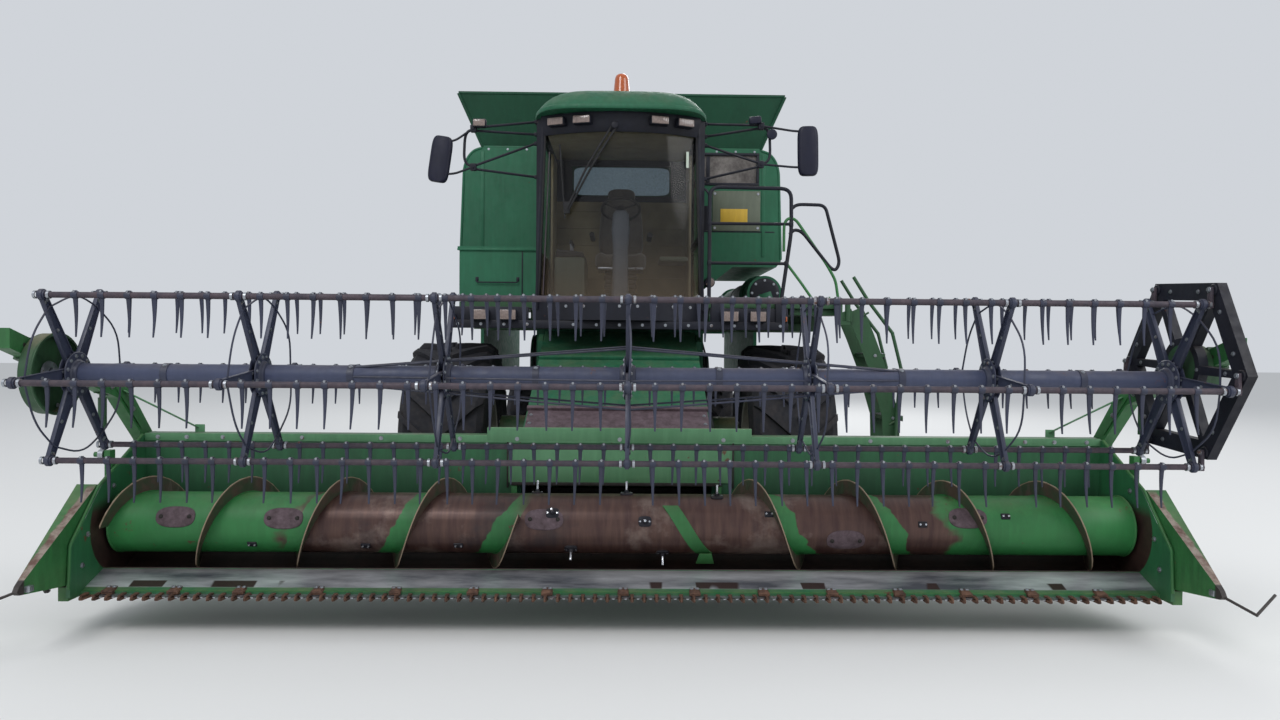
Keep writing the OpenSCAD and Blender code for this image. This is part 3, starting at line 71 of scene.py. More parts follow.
addCamera()
addLight("keyLight", (-6, -14, 14), 8, 1300)
addLight("fillLight", (12, -9, 9), 9, 700)
addLight("backLight", (4, 15, 12), 10, 1100)

# The header's main places, which its paint needs too
header = {"left": -3.29, "right": 3.43, "middle": 0.07, "half": 3.36, "knifeY": -3.97, "knifeZ": 0.262,
          "pitch": 0.0762, "guards": 88, "backY": -3.23, "augerY": -3.55, "augerZ": 0.613}


# Wraps one material's node tree; every pattern reads Object coordinates in metres
class Shade:
    def __init__(self, name, specular=0.5):
        self.mat = bpy.data.materials.new(name)
        self.mat.use_nodes = True
        self.tree = self.mat.node_tree
        self.out = self.tree.nodes["Principled BSDF"]
        self.out.inputs["Specular IOR Level"].default_value = specular
        self.coord = self.tree.nodes.new("ShaderNodeTexCoord").outputs["Object"]

    def node(self, kind, **sockets):
        made = self.tree.nodes.new(kind)
        for key, value in sockets.items():
            self.put(made.inputs[key.replace("_", " ")], value)
        return made

    def put(self, socket, value):
        if isinstance(value, bpy.types.NodeSocket):
            self.tree.links.new(value, socket)
        elif socket.type == "RGBA":
            socket.default_value = (*value, 1)
        else:
            socket.default_value = value

    def noise(self, scale, detail, rough=0.55, at=None):
        n = self.node("ShaderNodeTexNoise", Vector=at or self.coord, Scale=scale, Detail=detail,
                      Roughness=rough)
        return n.outputs["Fac"]

    def stretched(self, scale, detail, sizes):
        m = self.node("ShaderNodeMapping", Vector=self.coord, Scale=sizes)
        return self.noise(scale, detail, 0.6, m.outputs["Vector"])

    def step(self, value, low, high, outLow=0.0, outHigh=1.0):
        n = self.node("ShaderNodeMapRange", Value=value, From_Min=low, From_Max=high, To_Min=outLow,
                      To_Max=outHigh)
        n.clamp = True
        return n.outputs["Result"]

    def math(self, operation, a, b=0.5):
        n = self.tree.nodes.new("ShaderNodeMath")
        n.operation = operation
        self.put(n.inputs[0], a)
        self.put(n.inputs[1], b)
        return n.outputs[0]

    def times(self, a, b):
        return self.math("MULTIPLY", a, b)

    def plus(self, a, b):
        return self.math("ADD", a, b)

    def minus(self, a, b):
        return self.math("SUBTRACT", a, b)

    def mix(self, fac, a, b):
        n = self.tree.nodes.new("ShaderNodeMix")
        n.data_type = "RGBA"
        for socket, value in ((n.inputs[0], fac), (n.inputs[6], a), (n.inputs[7], b)):
            self.put(socket, value)
        return n.outputs[2]

    def axis(self, letter):
        return self.node("ShaderNodeSeparateXYZ", Vector=self.coord).outputs[letter]

    def up(self):
        normal = self.tree.nodes.new("ShaderNodeNewGeometry").outputs["Normal"]
        return self.node("ShaderNodeSeparateXYZ", Vector=normal).outputs["Z"]

    def band(self, value, low, high, edge=0.004):
        rise = self.step(value, low - edge, low + edge)
        return self.times(rise, self.step(value, high - edge, high + edge, 1, 0))

    def blotch(self, scale, low, high, detail, rough=0.55):
        return self.step(self.noise(scale, detail, rough), low, high)

    # Offsets from the cross auger's centre line, and the distance from it
    def fromAuger(self):
        y, z = self.minus(self.axis("Y"), header["augerY"]), self.minus(self.axis("Z"), header["augerZ"])
        return y, z, self.math("SQRT", self.plus(self.times(y, y), self.times(z, z)))

    def bump(self, height, strength, distance):
        n = self.node("ShaderNodeBump", Height=height, Strength=strength, Distance=distance)
        self.put(self.out.inputs["Normal"], n.outputs["Normal"])

    def chipBump(self, chip, grain=220):
        self.bump(self.plus(self.noise(grain, 3), self.times(chip, -1.5)), 0.12, 0.003)

    def grainy(self, scale, low, high, detail=4):
        return self.step(self.noise(scale, detail), 0.3, 0.7, low, high)

    def finish(self, color, rough, metal=0.0):
        for name, value in (("Base Color", color), ("Roughness", rough), ("Metallic", metal)):
            self.put(self.out.inputs[name], value)
        return self.mat


def srgb(code):
    parts = [int(code[i:i + 2], 16) / 255 for i in (1, 3, 5)]
    return tuple(c / 12.92 if c <= 0.04045 else ((c + 0.055) / 1.055) ** 2.4 for c in parts)


def scaled(tone, factor):
    return tuple(c * factor for c in tone)


dustTone = srgb("#8a765c")
rustTone = srgb("#5c3a2c")


# Field-worn paint: cloudy fading, chips of rust, dust on top faces and low down
def wornPaint(s, tone, shadeTone, dust=0.35, rust=0.3, soilTop=1.0, spots=9.0):
    cloud = s.blotch(1.3, 0.3, 0.72, 5, 0.6)
    color = s.mix(cloud, srgb(shadeTone), srgb(tone))
    streak = s.step(s.stretched(9, 6, (3, 3, 0.35)), 0.45, 0.8, 0, 0.45)
    color = s.mix(streak, color, scaled(srgb(tone), 1.3))
    low = s.step(s.axis("Z"), 0.1, soilTop, 0.75, 0.0)
    top = s.step(s.up(), 0.4, 0.95, 0.0, 1.0)
    grain = s.blotch(6, 0.35, 0.7, 8, 0.7)
    cover = s.times(s.math("MAXIMUM", low, top), s.times(grain, dust * 1.6))
    color = s.mix(s.plus(cover, dust * 0.1), color, dustTone)
    chip = s.blotch(spots, 0.68 - rust * 0.06, 0.70 - rust * 0.05, 9, 0.72)
    return s.mix(chip, color, rustTone), chip


def paint(name, tone, shadeTone, gloss=0.42, shine=0.5, **wear):
    s = Shade(name, shine)
    color, chip = wornPaint(s, tone, shadeTone, **wear)
    s.chipBump(chip)
    return s.finish(color, s.grainy(18, gloss, gloss + 0.25))


def rubber(name):
    s = Shade(name, 0.3)
    grain = s.blotch(7, 0.4, 0.75, 9, 0.7)
    low = s.step(s.axis("Z"), 0.0, 1.9, 1.0, 0.35)
    color = s.mix(s.times(grain, s.times(low, 0.28)), (0.017, 0.018, 0.023), srgb("#6a5c50"))
    s.bump(s.noise(160, 5), 0.25, 0.004)
    return s.finish(color, s.grainy(30, 0.72, 0.95))


def metal(name, tone, spotTone, amount, rough=0.4):
    s = Shade(name)
    patch = s.blotch(14.0, 0.62 - amount * 0.3, 0.70 - amount * 0.2, 9, 0.7)
    s.bump(s.noise(140, 4), 0.15, 0.002)
    return s.finish(s.mix(patch, srgb(tone), spotTone), s.step(patch, 0, 1, rough, 0.85),
                    s.step(patch, 0, 1, 0.9, 0.1))


def rusty(name, tone, other, scale=16.0):
    s = Shade(name)
    color = s.mix(s.blotch(scale, 0.35, 0.65, 9, 0.75), srgb(tone), srgb(other))
    s.bump(s.noise(90, 6), 0.3, 0.003)
    return s.finish(color, s.grainy(40, 0.55, 0.85), 0.3)


def plastic(name, tone, rough=0.5, shine=0.5):
    s = Shade(name, shine)
    color = s.mix(s.blotch(7, 0.3, 0.7, 6), scaled(srgb(tone), 0.75), srgb(tone))
    s.bump(s.noise(260, 3), 0.1, 0.001)
    return s.finish(color, s.grainy(20, rough, rough + 0.15))


# Film of dust on clear glass, thicker towards the bottom edge
def glassMaterial(name, tone, alpha):
    s = Shade(name)
    film = s.step(s.stretched(1.2, 5, (1, 1, 0.5)), 0.3, 0.8, alpha * 0.75, alpha * 1.3)
    low = s.step(s.axis("Z"), 2.2, 2.8, 0.14, 0.0)
    s.put(s.out.inputs["Alpha"], s.plus(film, low))
    dusty = s.step(s.axis("Z"), 2.15, 2.75, 0.5, 0.04)
    return s.finish(s.mix(dusty, srgb(tone), dustTone), s.grainy(9, 0.05, 0.16))


def lensMaterial(name, tone, glow=0.0):
    s = Shade(name)
    color = s.mix(s.blotch(60, 0.3, 0.7, 3), scaled(srgb(tone), 0.7), srgb(tone))
    s.out.inputs["Coat Weight"].default_value = 0.6
    s.out.inputs["Emission Color"].default_value = (*srgb(tone), 1)
    s.out.inputs["Emission Strength"].default_value = glow
    return s.finish(color, 0.18)


# Woven seat cloth in a grey-brown tone
def seatCloth():
    s = Shade("seatCloth")
    threads = [s.math("SINE", s.times(s.axis(letter), 1400.0)) for letter in "XZ"]
    color = s.mix(s.blotch(11, 0.35, 0.7, 7, 0.7), srgb("#57524b"), srgb("#3f3c38"))
    s.bump(s.plus(s.times(*threads), s.noise(300, 2)), 0.25, 0.001)
    s.out.inputs["Sheen Weight"].default_value = 0.4
    return s.finish(color, 0.9)


# The header's one sheet: paint, bare pan with rusty patches and painted highlights, the rust-brown trough,
# and painted shade on the back sheet
def headerPan():
    s = Shade("headerSheet")
    color, chip = wornPaint(s, "#276a42", "#1b5033", dust=0.2, rust=0.4, soilTop=0.4, spots=5.0)
    y, z = s.axis("Y"), s.axis("Z")
    ragged = s.plus(s.fromAuger()[2], s.grainy(12, -0.002, 0.002, 6))
    trough = s.times(s.step(ragged, 0.3255, 0.3265, 1, 0), s.step(z, 0.72, 0.80, 1, 0))
    # painted shade on the back sheet behind the auger, darkest low down and fading out upwards
    backSheetShade = s.times(s.band(y, -3.26, -3.2, 0.01), s.step(z, 0.6, 1.05, 0.6, 0.0))
    color = s.mix(backSheetShade, color, srgb("#1d2220"))
    brown = s.mix(s.blotch(8, 0.35, 0.7, 8, 0.7), srgb("#231816"), srgb("#3e2b26"))
    color = s.mix(trough, color, brown)
    pan = s.times(s.band(y, -3.925, -3.70), s.step(s.up(), 0.3, 0.5))
    # near-white streaks on the bare pan: polished steel, partly painted highlights
    shine = s.mix(s.step(s.stretched(2, 6, (0.6, 3, 3)), 0.35, 0.7), srgb("#666a72"), srgb("#e6e9ec"))
    patches = s.times(s.step(s.stretched(2.2, 2, (0.9, 0.15, 0.15)), 0.58, 0.59), s.band(y, -3.925, -3.86))
    shine = s.mix(patches, shine, srgb("#4d3f3d"))
    fadeBack = s.step(y, -3.80, -3.71)
    shine = s.mix(fadeBack, shine, srgb("#4a3a36"))
    s.chipBump(chip, 200)
    rough = s.step(pan, 0, 1, 0.5, 0.33)
    return s.finish(s.mix(pan, color, shine), rough, s.times(pan, s.step(fadeBack, 0, 1, 0.6, 0.1)))


# Auger: crop-polished rust between the flights with painted highlights on it, paint left along their backs
def augerPaint():
    s = Shade("augerSheet")
    tone = wornPaint(s, "#2c7b40", "#206332", dust=0.12, rust=0.7, soilTop=0.2, spots=6.0)[0]
    y, z, reach = s.fromAuger()
    x = s.minus(s.axis("X"), header["middle"])
    turn = s.math("DIVIDE", s.math("ARCTAN2", z, y), 2 * math.pi)
    wave = s.grainy(4, -0.12, 0.12, 3)
    start = s.plus(s.times(s.math("SIGN", x), 0.2845), 10.6655)
    phase = s.minus(s.math("DIVIDE", s.math("ABSOLUTE", x), 0.65), turn)
    phase = s.math("FRACT", s.plus(phase, start))
    strip = s.band(s.plus(phase, s.times(wave, 0.55)), -0.1, 0.2, 0.006)
    outer = s.step(s.math("ABSOLUTE", s.plus(x, s.times(wave, 2.0))), 2.05, 2.2)
    centre = s.step(s.math("ABSOLUTE", x), 0.62, 0.75)
    painted = s.times(s.math("MAXIMUM", strip, outer), centre)
    # lighter streaks and pale spots: crop-polished bare metal, partly painted highlights
    polishAndHighlight = s.stretched(6, 8, (5, 0.6, 0.6))
    worn = s.mix(s.step(polishAndHighlight, 0.3, 0.75), srgb("#432e2d"), srgb("#60483f"))
    worn = s.mix(s.blotch(1.6, 0.54, 0.74, 6, 0.65), worn, srgb("#93837a"))
    worn = s.mix(s.blotch(2.3, 0.56, 0.75, 6, 0.65), worn, srgb("#352f31"))
    color = s.mix(painted, worn, tone)
    flight = s.step(reach, 0.203, 0.206)
    face = s.mix(s.blotch(9, 0.4, 0.6, 6), srgb("#4a3b33"), srgb("#33402d"))
    edge = s.mix(s.step(reach, 0.290, 0.295), face, srgb("#8c7a66"))
    color = s.mix(flight, color, edge)
    bare = s.minus(1.0, s.math("MAXIMUM", painted, flight))
    s.bump(s.plus(polishAndHighlight, s.noise(180, 3)), 0.1, 0.002)
    return s.finish(color, s.step(bare, 0, 1, 0.5, 0.36), s.times(bare, 0.4))


# Divider: header paint with a worn ridge, and the long wires at its tip left bare and dark
def dividerPaint():
    s = Shade("dividerSheet")
    color, chip = wornPaint(s, "#2b713a", "#1d552b", dust=0.22, rust=0.6, soilTop=0.5, spots=5.0)
    fromMiddle = s.math("ABSOLUTE", s.minus(s.axis("X"), header["middle"]))
    ragged = s.plus(fromMiddle, s.grainy(9, -0.012, 0.012, 6))
    near = s.step(ragged, header["half"] + 0.070, header["half"] + 0.082, 1, 0)
    ridge = s.times(s.times(near, s.step(s.up(), 0.2, 0.4)), s.step(s.axis("Y"), -3.80, -3.76, 1, 0))
    color = s.mix(ridge, color, s.mix(s.blotch(14, 0.4, 0.6, 8, 0.7), srgb("#5b3f35"), srgb("#8d8176")))
    color = s.mix(s.step(s.axis("Y"), -4.445, -4.435, 1, 0), color, srgb("#2c2624"))
    s.chipBump(chip)
    return s.finish(color, s.grainy(18, 0.45, 0.7))


green = paint("greenPaint", "#1e6246", "#174f37", shine=0.35, dust=0.12, rust=0.1)
flareGreen = paint("flareGreen", "#164a35", "#103a29", shine=0.3, dust=0.14, rust=0.2)
headerGreen = paint("headerGreen", "#2b713a", "#1d552b", dust=0.22, rust=0.6, soilTop=0.5, spots=5.0)
# lighter copy of the header green for raised strips: painted highlight
highlightGreen = paint("greenHighlightPaint", "#5b8f68", "#467a54", dust=0.3, rust=0.5, spots=6.0)
darkGreen = paint("darkGreen", "#1b4f2e", "#123a21", dust=0.4, rust=0.3)
black = paint("blackPaint", "#161a28", "#0f111a", shine=0.3, dust=0.1, rust=0.1)
reelBlue = paint("reelPaint", "#2f354a", "#22273a", dust=0.12, rust=0.45, soilTop=0.2, gloss=0.36)
tineBlue = paint("tinePaint", "#2b3147", "#1f2435", dust=0.15, rust=0.3, soilTop=0.2)
reelTube = paint("reelTube", "#3d4560", "#313850", dust=0.12, rust=0.75, soilTop=0.2, spots=3.0)
rimGrey = paint("rimPaint", "#a9a79c", "#8a887d", dust=0.5, rust=0.3)
olive = paint("olivePanel", "#5b6453", "#4a5448", dust=0.4, rust=0.2)
plateYellow = paint("blankPlate", "#c9a42c", "#ad8c24", dust=0.2, rust=0.1)
plateWhite = paint("paleLabel", "#b9c4b6", "#a2b09f", dust=0.2, rust=0.1)
tyreRubber = rubber("tyreRubber")
batRust = rusty("batRust", "#53474d", "#393640", 9.0)
guardRust = rusty("guardRust", "#7a5a48", "#3d2c27")
ironDark = rusty("ironDark", "#35322f", "#25211f")
coverRust = rusty("coverRust", "#6b5b62", "#4a3c40")
dirtyPane = rusty("dirtyPane", "#7f7a76", "#3a3534", 3.0)
steel = metal("wornSteel", "#a3a7ad", rustTone, 0.2)
brightSteel = metal("brightSteel", "#c9ccd2", srgb("#8d7a68"), 0.1, 0.25)
mirrorFace = metal("mirrorFace", "#c8ccd4", srgb("#9aa0a8"), 0.1, 0.06)
softRubber = plastic("softRubber", "#1c1c1f", 0.7)
cabPlastic = plastic("cabPlastic", "#26231f")
cabGrey = plastic("columnPlastic", "#5b6068")
cabLining = plastic("cabLining", "#8d8467", 0.7)
shellPlastic = plastic("mirrorShell", "#15172b", 0.45, 0.3)
cabGlass = glassMaterial("cabGlass", "#1d2126", 0.2)
amber = lensMaterial("amberLens", "#b4541a", 0.03)
redLens = lensMaterial("redLens", "#9c1c18", 0.05)
paleLens = lensMaterial("paleLens", "#8e7d76")
# the cab's rear window glows pale blue: painted daylight seen through it
skyGlowPane = lensMaterial("skyGlowPane", "#9fbacb", 0.16)
cloth = seatCloth()
headerSheet = headerPan()
augerSheet = augerPaint()
dividerSheet = dividerPaint()


def floorMaterial():
    s = Shade("floorTone")
    s.tree.nodes.remove(s.out)
    diffuse = s.node("ShaderNodeBsdfDiffuse", Color=(0.72, 0.72, 0.71))
    s.tree.links.new(diffuse.outputs[0], s.tree.nodes["Material Output"].inputs["Surface"])
    return s.mat


def addFloor():
    bm = bmesh.new()
    bmesh.ops.create_grid(bm, x_segments=1, y_segments=1, size=floorHalf)
    mesh = bpy.data.meshes.new("floor")
    bm.to_mesh(mesh)
    bm.free()
    floor = bpy.data.objects.new("floor", mesh)
    scene.collection.objects.link(floor)
    mesh.materials.append(floorMaterial())


def addWorld():
    world = bpy.data.worlds.new("world")
    world.use_nodes = True
    background = world.node_tree.nodes["Background"]
    background.inputs["Color"].default_value = (0.90, 0.94, 1.0, 1)
    background.inputs["Strength"].default_value = 0.7
    scene.world = world
    scene.view_settings.view_transform = "Standard"


addFloor()
addWorld()
print("stage: camera, lights and materials")


# Every shape is made in a small bmesh of its own, then put into its piece
def add(bm, part, place=None, mat=0):
    bmesh.ops.remove_doubles(part, verts=part.verts, dist=1e-6)
    if place is not None:
        bmesh.ops.transform(part, matrix=place, verts=part.verts)
    bmesh.ops.recalc_face_normals(part, faces=part.faces)
    for face in part.faces:
        face.material_index = mat
    mesh = bpy.data.meshes.new("part")
    part.to_mesh(mesh)
    part.free()
    bm.from_mesh(mesh)
    bpy.data.meshes.remove(mesh)


def soften(part, width):
    if width > 0:
        edges = [e for e in part.edges if len(e.link_faces) == 2 and e.calc_face_angle(0) > 0.9]
        bmesh.ops.bevel(part, geom=edges, offset=width, offset_type="OFFSET", segments=2, profile=0.5,
                        affect="EDGES", material=-1, clamp_overlap=True)


def shift(x=0.0, y=0.0, z=0.0):
    return Matrix.Translation((x, y, z))


# Turn by degrees round one axis
def turned(degrees, axis):
    return Matrix.Rotation(math.radians(degrees), 4, axis)


def along(a, b):
    return shift(*a) @ (Vector(b) - Vector(a)).to_track_quat("Z", "Y").to_matrix().to_4x4()


def outward(place):
    return place.to_3x3() @ Vector((0, 0, 1))


def box(bm, lo, hi, soft=0.0, mat=0, place=None):
    part = bmesh.new()
    lo, hi = Vector(lo), Vector(hi)
    bmesh.ops.create_cube(part, size=1, matrix=shift(*(lo + hi) / 2) @ Matrix.Diagonal((*(hi - lo), 1)))
    soften(part, soft)
    add(bm, part, place, mat)


# A box given by its middle and its full size
def block(bm, at, size, soft, mat):
    half = Vector(size) / 2
    box(bm, Vector(at) - half, Vector(at) + half, soft, mat)


def drum(bm, a, b, r, r2=None, sides=24, soft=0.0, mat=0, place=None):
    part = bmesh.new()
    length = (Vector(b) - Vector(a)).length
    bmesh.ops.create_cone(part, cap_ends=True, segments=sides, radius1=r, radius2=r if r2 is None else r2,
                          depth=length, matrix=along(a, b) @ shift(z=length / 2))
    soften(part, soft)
    add(bm, part, place, mat)


# A profile of (radius, distance from the point at, along way), spun round that line
def lathe(bm, profile, at, way, sides=32, mat=0):
    part = bmesh.new()
    verts = [part.verts.new((r, 0, h)) for r, h in profile]
    edges = [part.edges.new(pair) for pair in zip(verts, verts[1:])]
    bmesh.ops.spin(part, geom=verts + edges, cent=(0, 0, 0), axis=(0, 0, 1), dvec=(0, 0, 0),
                   angle=2 * math.pi, steps=sides, use_merge=True, use_duplicate=False)
    bmesh.ops.transform(part, matrix=along(at, Vector(at) + Vector(way)), verts=part.verts)
    add(bm, part, None, mat)


# An outline across one axis, pushed from start to end along it
def plate(bm, outline, axis, start, end, soft=0.0, mat=0, place=None):
    part = bmesh.new()
    slot = "XYZ".index(axis)
    face = part.faces.new([part.verts.new((*p[:slot], start, *p[slot:])) for p in outline])
    pushed = bmesh.ops.extrude_face_region(part, geom=[face])["geom"]
    bmesh.ops.translate(part, vec=[end - start if letter == axis else 0 for letter in "XYZ"],
                        verts=[g for g in pushed if isinstance(g, bmesh.types.BMVert)])
    soften(part, soft)
    add(bm, part, place, mat)


# Rings of points bridged one to the next, closed at both ends
def loft(bm, rings, mat=0, place=None):
    part = bmesh.new()
    before = None
    for i, ring in enumerate(rings):
        verts = bmesh.ops.create_circle(part, segments=len(ring), radius=1, cap_ends=False)["verts"]
        for vert, spot in zip(verts, ring):
            vert.co = spot
        edges = [part.edges.get((verts[k - 1], verts[k])) for k in range(len(verts))]
        if before:
            bmesh.ops.bridge_loops(part, edges=before + edges)
        if i in (0, len(rings) - 1):
            part.faces.new(verts)
        before = edges
    add(bm, part, place, mat)


def rounded(points, bend):
    path = [Vector(points[0])]
    for a, p, b in zip(points, points[1:], points[2:]):
        a, p, b = Vector(a), Vector(p), Vector(b)
        start = p + (a - p).normalized() * min(bend, (a - p).length * 0.48)
        end = p + (b - p).normalized() * min(bend, (b - p).length * 0.48)
        for k in range(6):
            t = k / 5
            path.append(start * (1 - t) ** 2 + p * 2 * t * (1 - t) + end * t ** 2)
    return path + [Vector(points[-1])]


# A round tube through points, with bent corners
def pipe(bm, points, r, bend=0.06, res=3, mat=0, closed=False):
    path = [Vector(p) for p in points] if closed else rounded(points, bend)
    curve = bpy.data.curves.new("path", "CURVE")
    curve.dimensions = "3D"
    curve.bevel_depth = r
    curve.bevel_resolution = res
    curve.use_fill_caps = not closed
    spline = curve.splines.new("POLY")
    spline.points.add(len(path) - 1)
    for point, spot in zip(spline.points, path):
        point.co = (*spot, 1)
    spline.use_cyclic_u = closed
    holder = bpy.data.objects.new("path", curve)
    tube = bpy.data.meshes.new_from_object(holder)
    part = bmesh.new()
    part.from_mesh(tube)
    add(bm, part, None, mat)
    bpy.data.objects.remove(holder)
    bpy.data.curves.remove(curve)
    bpy.data.meshes.remove(tube)


# One mesh set down at many places
def stamp(bm, build, places):
    pattern = bmesh.new()
    build(pattern)
    mesh = bpy.data.meshes.new("pattern")
    pattern.to_mesh(mesh)
    pattern.free()
    for place in places:
        copy = mesh.copy()
        copy.transform(place)
        bm.from_mesh(copy)
        bpy.data.meshes.remove(copy)
    bpy.data.meshes.remove(mesh)


# Hex head on a washer, standing on a face that looks along way
def bolt(bm, at, way, r, mat=0):
    at, way = Vector(at), Vector(way).normalized()
    drum(bm, at, at + way * 0.003, r * 1.5, sides=12, mat=mat)
    drum(bm, at + way * 0.002, at + way * (0.002 + r * 0.7), r, sides=6, mat=mat)


def bolts(bm, spots, way, r, mat=0):
    turn = Vector(way).to_track_quat("Z", "Y").to_matrix().to_4x4()
    stamp(bm, lambda b: bolt(b, (0, 0, 0), (0, 0, 1), r, mat), [shift(*spot) @ turn for spot in spots])


def spread(first, last, count):
    return [first + (last - first) * i / (count - 1) for i in range(count)]


# Point at a distance and an angle round the X line through at
def around(at, r, a):
    return at[0], at[1] + r * math.cos(a), at[2] + r * math.sin(a)


# Points of a circle round an axis, the first one at start degrees
def circle(at, r, count, start=0.0, axis="X"):
    points = []
    for k in range(count):
        c, s = around((0, 0, 0), r, math.radians(start + 360 * k / count))[1:]
        step = {"X": (0, c, s), "Y": (c, 0, s), "Z": (c, s, 0)}[axis]
        points.append(tuple(a + b for a, b in zip(at, step)))
    return points


def oval(halfX, halfY, power, middle=(0, 0), count=48):
    points = []
    for i in range(count):
        c, s = math.cos(2 * math.pi * i / count), math.sin(2 * math.pi * i / count)
        points.append((middle[0] + halfX * math.copysign(abs(c) ** (2 / power), c),
                       middle[1] + halfY * math.copysign(abs(s) ** (2 / power), s)))
    return points


def finish(bm, name, materials, body="root", replaces=(), sharp=32):
    mesh = bpy.data.meshes.new(name)
    bm.to_mesh(mesh)
    bm.free()
    for material in materials:
        mesh.materials.append(material)
    mesh.shade_smooth()
    mesh.set_sharp_from_angle(angle=math.radians(sharp))
    piece = bpy.data.objects.new(name, mesh)
    scene.collection.objects.link(piece)
    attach(piece, body)
    if replaces:
        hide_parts(*replaces)
    return piece


# Cab roof: a moulded cap with a rolled lip; each ring is (scale, height)
roof = {"middle": -1.055, "halfLength": 0.944, "halfWidth": 0.768, "front": 4.6, "rear": 5.5, "top": 4.0437,
        "rings": ((0.95, 3.792), (0.995, 3.793), (1.0, 3.80), (1.0, 3.822), (0.992, 3.832), (0.982, 3.834),
                  (0.976, 3.846), (0.955, 3.872), (0.915, 3.911), (0.865, 3.948), (0.81, 3.978),
                  (0.75, 4.003), (0.68, 4.022), (0.58, 4.034), (0.4, 4.041), (0.2, 4.0437)),
        "grilles": (-0.30, -0.55, -0.80)}


def addRoof():
    bm = bmesh.new()
    middle = roof["middle"]
    rings = []
    for scale, z in roof["rings"]:
        ahead, behind = [oval(roof["halfWidth"] * scale, roof["halfLength"] * scale, roof[end],
                              (0, middle), 96) for end in ("front", "rear")]
        rings.append([(*(p if p[1] < middle else q), z) for p, q in zip(ahead, behind)])
    loft(bm, rings)
    for y in roof["grilles"]:
        for side in (-1, 1):
            block(bm, (side * 0.735, y, 3.85), (0.024, 0.2, 0.04), 0.006, 1)
    finish(bm, "cabRoof", [green, black], replaces=["cab_roof"], sharp=40)


def lampUnit(bm, place, width, height, depth, lens=1):
    w, h = width / 2, height / 2
    box(bm, (-w, 0, -h), (w, depth, h), 0.012, 0, place)
    box(bm, (-w + 0.008, -0.004, -h + 0.008), (w - 0.008, 0.02, h - 0.008), 0.006, lens, place)
    for x in spread(-w + 0.02, w - 0.02, 7):
        box(bm, (x - 0.002, -0.0065, -h + 0.012), (x + 0.002, 0.01, h - 0.012), 0.0, lens, place)


cab = {"axis": -0.65, "radius": 1.2, "beacon": -1.35, "floor": 2.08, "deck": 2.19, "high": 3.64,
       "halfLow": 0.712, "halfHigh": 0.66}
lampBar = {"y": -1.77, "low": 1.945, "high": 2.015, "half": 1.47, "posts": (0.84, 1.40),
           "lamps": (-1.20, -0.96, 0.96, 1.20), "markers": (-1.44, 1.44),
           "roofLamps": (-0.52, -0.31, 0.31, 0.52)}


# Frame on the curved windscreen, with Y pointing inwards
def screenPlace(x, out, z):
    angle = math.asin(x / cab["radius"])
    reach = cab["radius"] + out
    return (shift(reach * math.sin(angle), cab["axis"] - reach * math.cos(angle), z)
            @ Matrix.Rotation(angle, 4, "Z"))


def onScreen(x, z, out=0.004):
    return screenPlace(x, out, z).translation


# Dark visor under the roof's lip: one section swept round the screen's axis
def addVisor(bm):
    part = bmesh.new()
    centre = (0, cab["axis"], 0)
    line = [part.verts.new(onScreen(0, z, out)) for out, z in
            ((0.0, 3.640), (0.012, 3.632), (0.02, 3.645), (0.065, 3.768), (0.06, 3.792), (0.0, 3.792))]
    edges = [part.edges.new(pair) for pair in zip(line, line[1:] + line[:1])]
    bmesh.ops.rotate(part, verts=line, cent=centre, matrix=Matrix.Rotation(math.radians(-33.5), 3, "Z"))
    made = bmesh.ops.spin(part, geom=line + edges, cent=centre, axis=(0, 0, 1), dvec=(0, 0, 0),
                          angle=math.radians(67), steps=40)
    part.faces.new(line)
    part.faces.new([g for g in made["geom_last"] if isinstance(g, bmesh.types.BMVert)])
    add(bm, part)


def addLamps():
    bm = bmesh.new()
    y, half = lampBar["y"], lampBar["half"]
    box(bm, (-half, y, lampBar["low"]), (half, y + 0.06, lampBar["high"]), 0.006)
    for x in lampBar["posts"]:
        box(bm, (x - 0.04, y, 2.01), (x + 0.04, -1.70, 2.18), 0.004)
    for side in (-1, 1):  # closed panel behind the lamps
        lo, hi = sorted((side * 0.79, side * half))
        box(bm, (lo, y + 0.012, 2.01), (hi, y + 0.045, 2.132), 0.006)
    for x in lampBar["lamps"]:
        lampUnit(bm, shift(x, y - 0.06, 2.06), 0.15, 0.10, 0.065)
        box(bm, (x - 0.02, y, 2.01), (x + 0.02, y + 0.02, 2.10))
    for x in lampBar["markers"]:
        lampUnit(bm, shift(x, y - 0.02, 2.04), 0.05, 0.06, 0.045, 2)
    for x in spread(-1.4, 1.4, 15):
        bolt(bm, (x, y, 1.98), (0, -1, 0), 0.009, 3)
    addVisor(bm)
    for x in lampBar["roofLamps"]:
        lampUnit(bm, screenPlace(x, 0.105, 3.722), 0.165, 0.078, 0.085)
    foot = (0, cab["beacon"], roof["top"] - 0.001)
    base = [(0, 0), (0.086, 0), (0.086, 0.02), (0.078, 0.034), (0.078, 0.05), (0, 0.05)]
    lathe(bm, base, foot, (0, 0, 1))
    glass = [(0.0, 0.045), (0.074, 0.045)]
    for k in range(9):  # ribs round the beacon's lens
        r, h = 0.0745 - k * 0.0014, 0.055 + k * 0.015
        glass += [(r, h), (r - 0.002, h + 0.0075)]
    glass += [(0.059, 0.195), (0.051, 0.214), (0.033, 0.227), (0, 0.232)]
    lathe(bm, glass, foot, (0, 0, 1), 40, 2)
    finish(bm, "lampSet", [black, paleLens, amber, steel], replaces=["lamps"])


